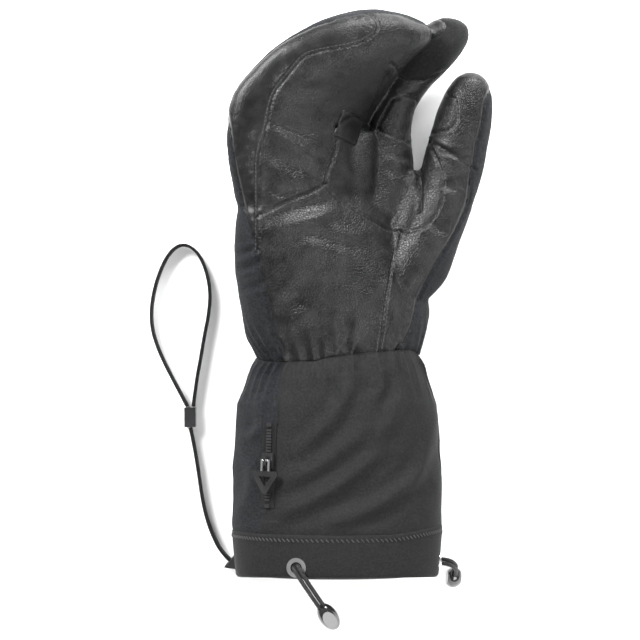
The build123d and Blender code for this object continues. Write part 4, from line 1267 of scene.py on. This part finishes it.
def makeCords():
    names = {"front": ("front_cord_left", "front_cord_right"),
             "side": ("side_cord_lower", "side_cord_upper")}
    for key in ("front", "side"):
        beside = unit(cords[key + "Beside"]) * cords["pitch"] / 2
        for sign, node in zip((-1, 1), names[key]):
            points = [np.array(p) + sign * beside for p in cords[key]]
            obj = splineObject(f"drawcord.{node[-5:].strip('_')}{key}", points,
                               cords["diameter"] / 2 * mm)
            obj.data.materials.append(materials["elasticCord"])
            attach(obj, "gauntlet")
            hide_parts(node)
    print("drawcord pulls")


def webbing(name, route, width, thick):
    # flat tape standing on its edge, with a ribbed selvage on both edges
    guide = splineObject(name + "Guide", [(*p, leash["z"]) for p in route], 0)
    guide.data.resolution_u = 16
    line = [np.array(v.co) / mm for v in evaluated(guide).vertices]
    bpy.data.objects.remove(guide)
    run = np.concatenate([[0], np.cumsum([np.linalg.norm(b - a) for a, b in zip(line, line[1:])])])
    keep = np.concatenate([[True], np.diff(run) > 1e-4])
    run, line = run[keep], np.array(line)[keep]
    at = np.linspace(0, run[-1], int(run[-1] / 0.8))
    line = np.stack([np.interp(at, run, line[:, i]) for i in range(3)], 1)
    way = np.gradient(line, axis=0)
    way /= np.linalg.norm(way, axis=1, keepdims=True)
    h, t = width / 2, thick / 2
    outline = [(-h, -0.35 * t), (-h + 0.5, -t), (-h + 1.3, -t), (-h + 1.5, -0.8 * t),
               (h - 1.5, -0.8 * t), (h - 1.3, -t), (h - 0.5, -t), (h, -0.35 * t),
               (h, 0.35 * t), (h - 0.5, t), (h - 1.3, t), (h - 1.5, 0.8 * t),
               (-h + 1.5, 0.8 * t), (-h + 1.3, t), (-h + 0.5, t), (-h, 0.35 * t)]
    verts, faces = [], []
    for i, (p, d) in enumerate(zip(line, way)):
        across = np.array([-d[1], d[0], 0.0])
        rib = 1.0 + 0.05 * (-1) ** i
        for z, s in outline:
            verts.append(tuple((p + across * s * rib + np.array([0, 0, z])) * mm))
    count = len(outline)
    for i in range(len(line) - 1):
        for k in range(count):
            j = (k + 1) % count
            faces.append((i * count + k, (i + 1) * count + k, (i + 1) * count + j, i * count + j))
    faces.append(tuple(range(count)))
    faces.append(tuple(reversed(range((len(line) - 1) * count, len(line) * count))))
    obj = meshObject(name, verts, faces, smooth=False)
    return obj, [tuple(p * mm) for p in line], run[-1]


def makeLeash():
    for part, node, ends in (("tail", "leash_tail", "fitting"), ("loop", "leash_loop", "object")):
        obj, path, length = webbing("leash." + part, leash[part], leash["width"], leash["thick"])
        obj.data.materials.append(materials["tapeWeave"])
        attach(obj, "gauntlet")
        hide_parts(node)
        print("leash", part, round(length, 1), "mm")


cadLooks = {
    "front_eyelet": "polishedNickel", "side_eyelet": "polishedNickel",
    "front_cord_end": "glossBlack", "side_cord_end": "glossBlack", "zip_teeth": "zipPlastic",
    "zip_stops": "glossBlack", "zip_slider": "glossBlack", "zip_link": "polishedNickel",
    "zip_pull_tab": "glossBlack", "zip_tape": "tapeWeave", "leash_keeper": "glossBlack",
    "leash_anchor": "tapeWeave",
}

makeMaterials()
makeStudio()
print("studio")
master = handMaster()
dressSkin(master)
handTree = makePanels(master)
bpy.data.objects.remove(master)
makeStitches(handTree)
makeTab(handTree)
makeGauntlet()
makeHem()
makeLining()
makeCords()
makeLeash()
for name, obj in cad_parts.items():
    if not obj.hide_render:
        obj.data.materials.clear()
        obj.data.materials.append(materials[cadLooks.get(name, "greyShell")])
        if name not in cadLooks:
            print("no look for", name)
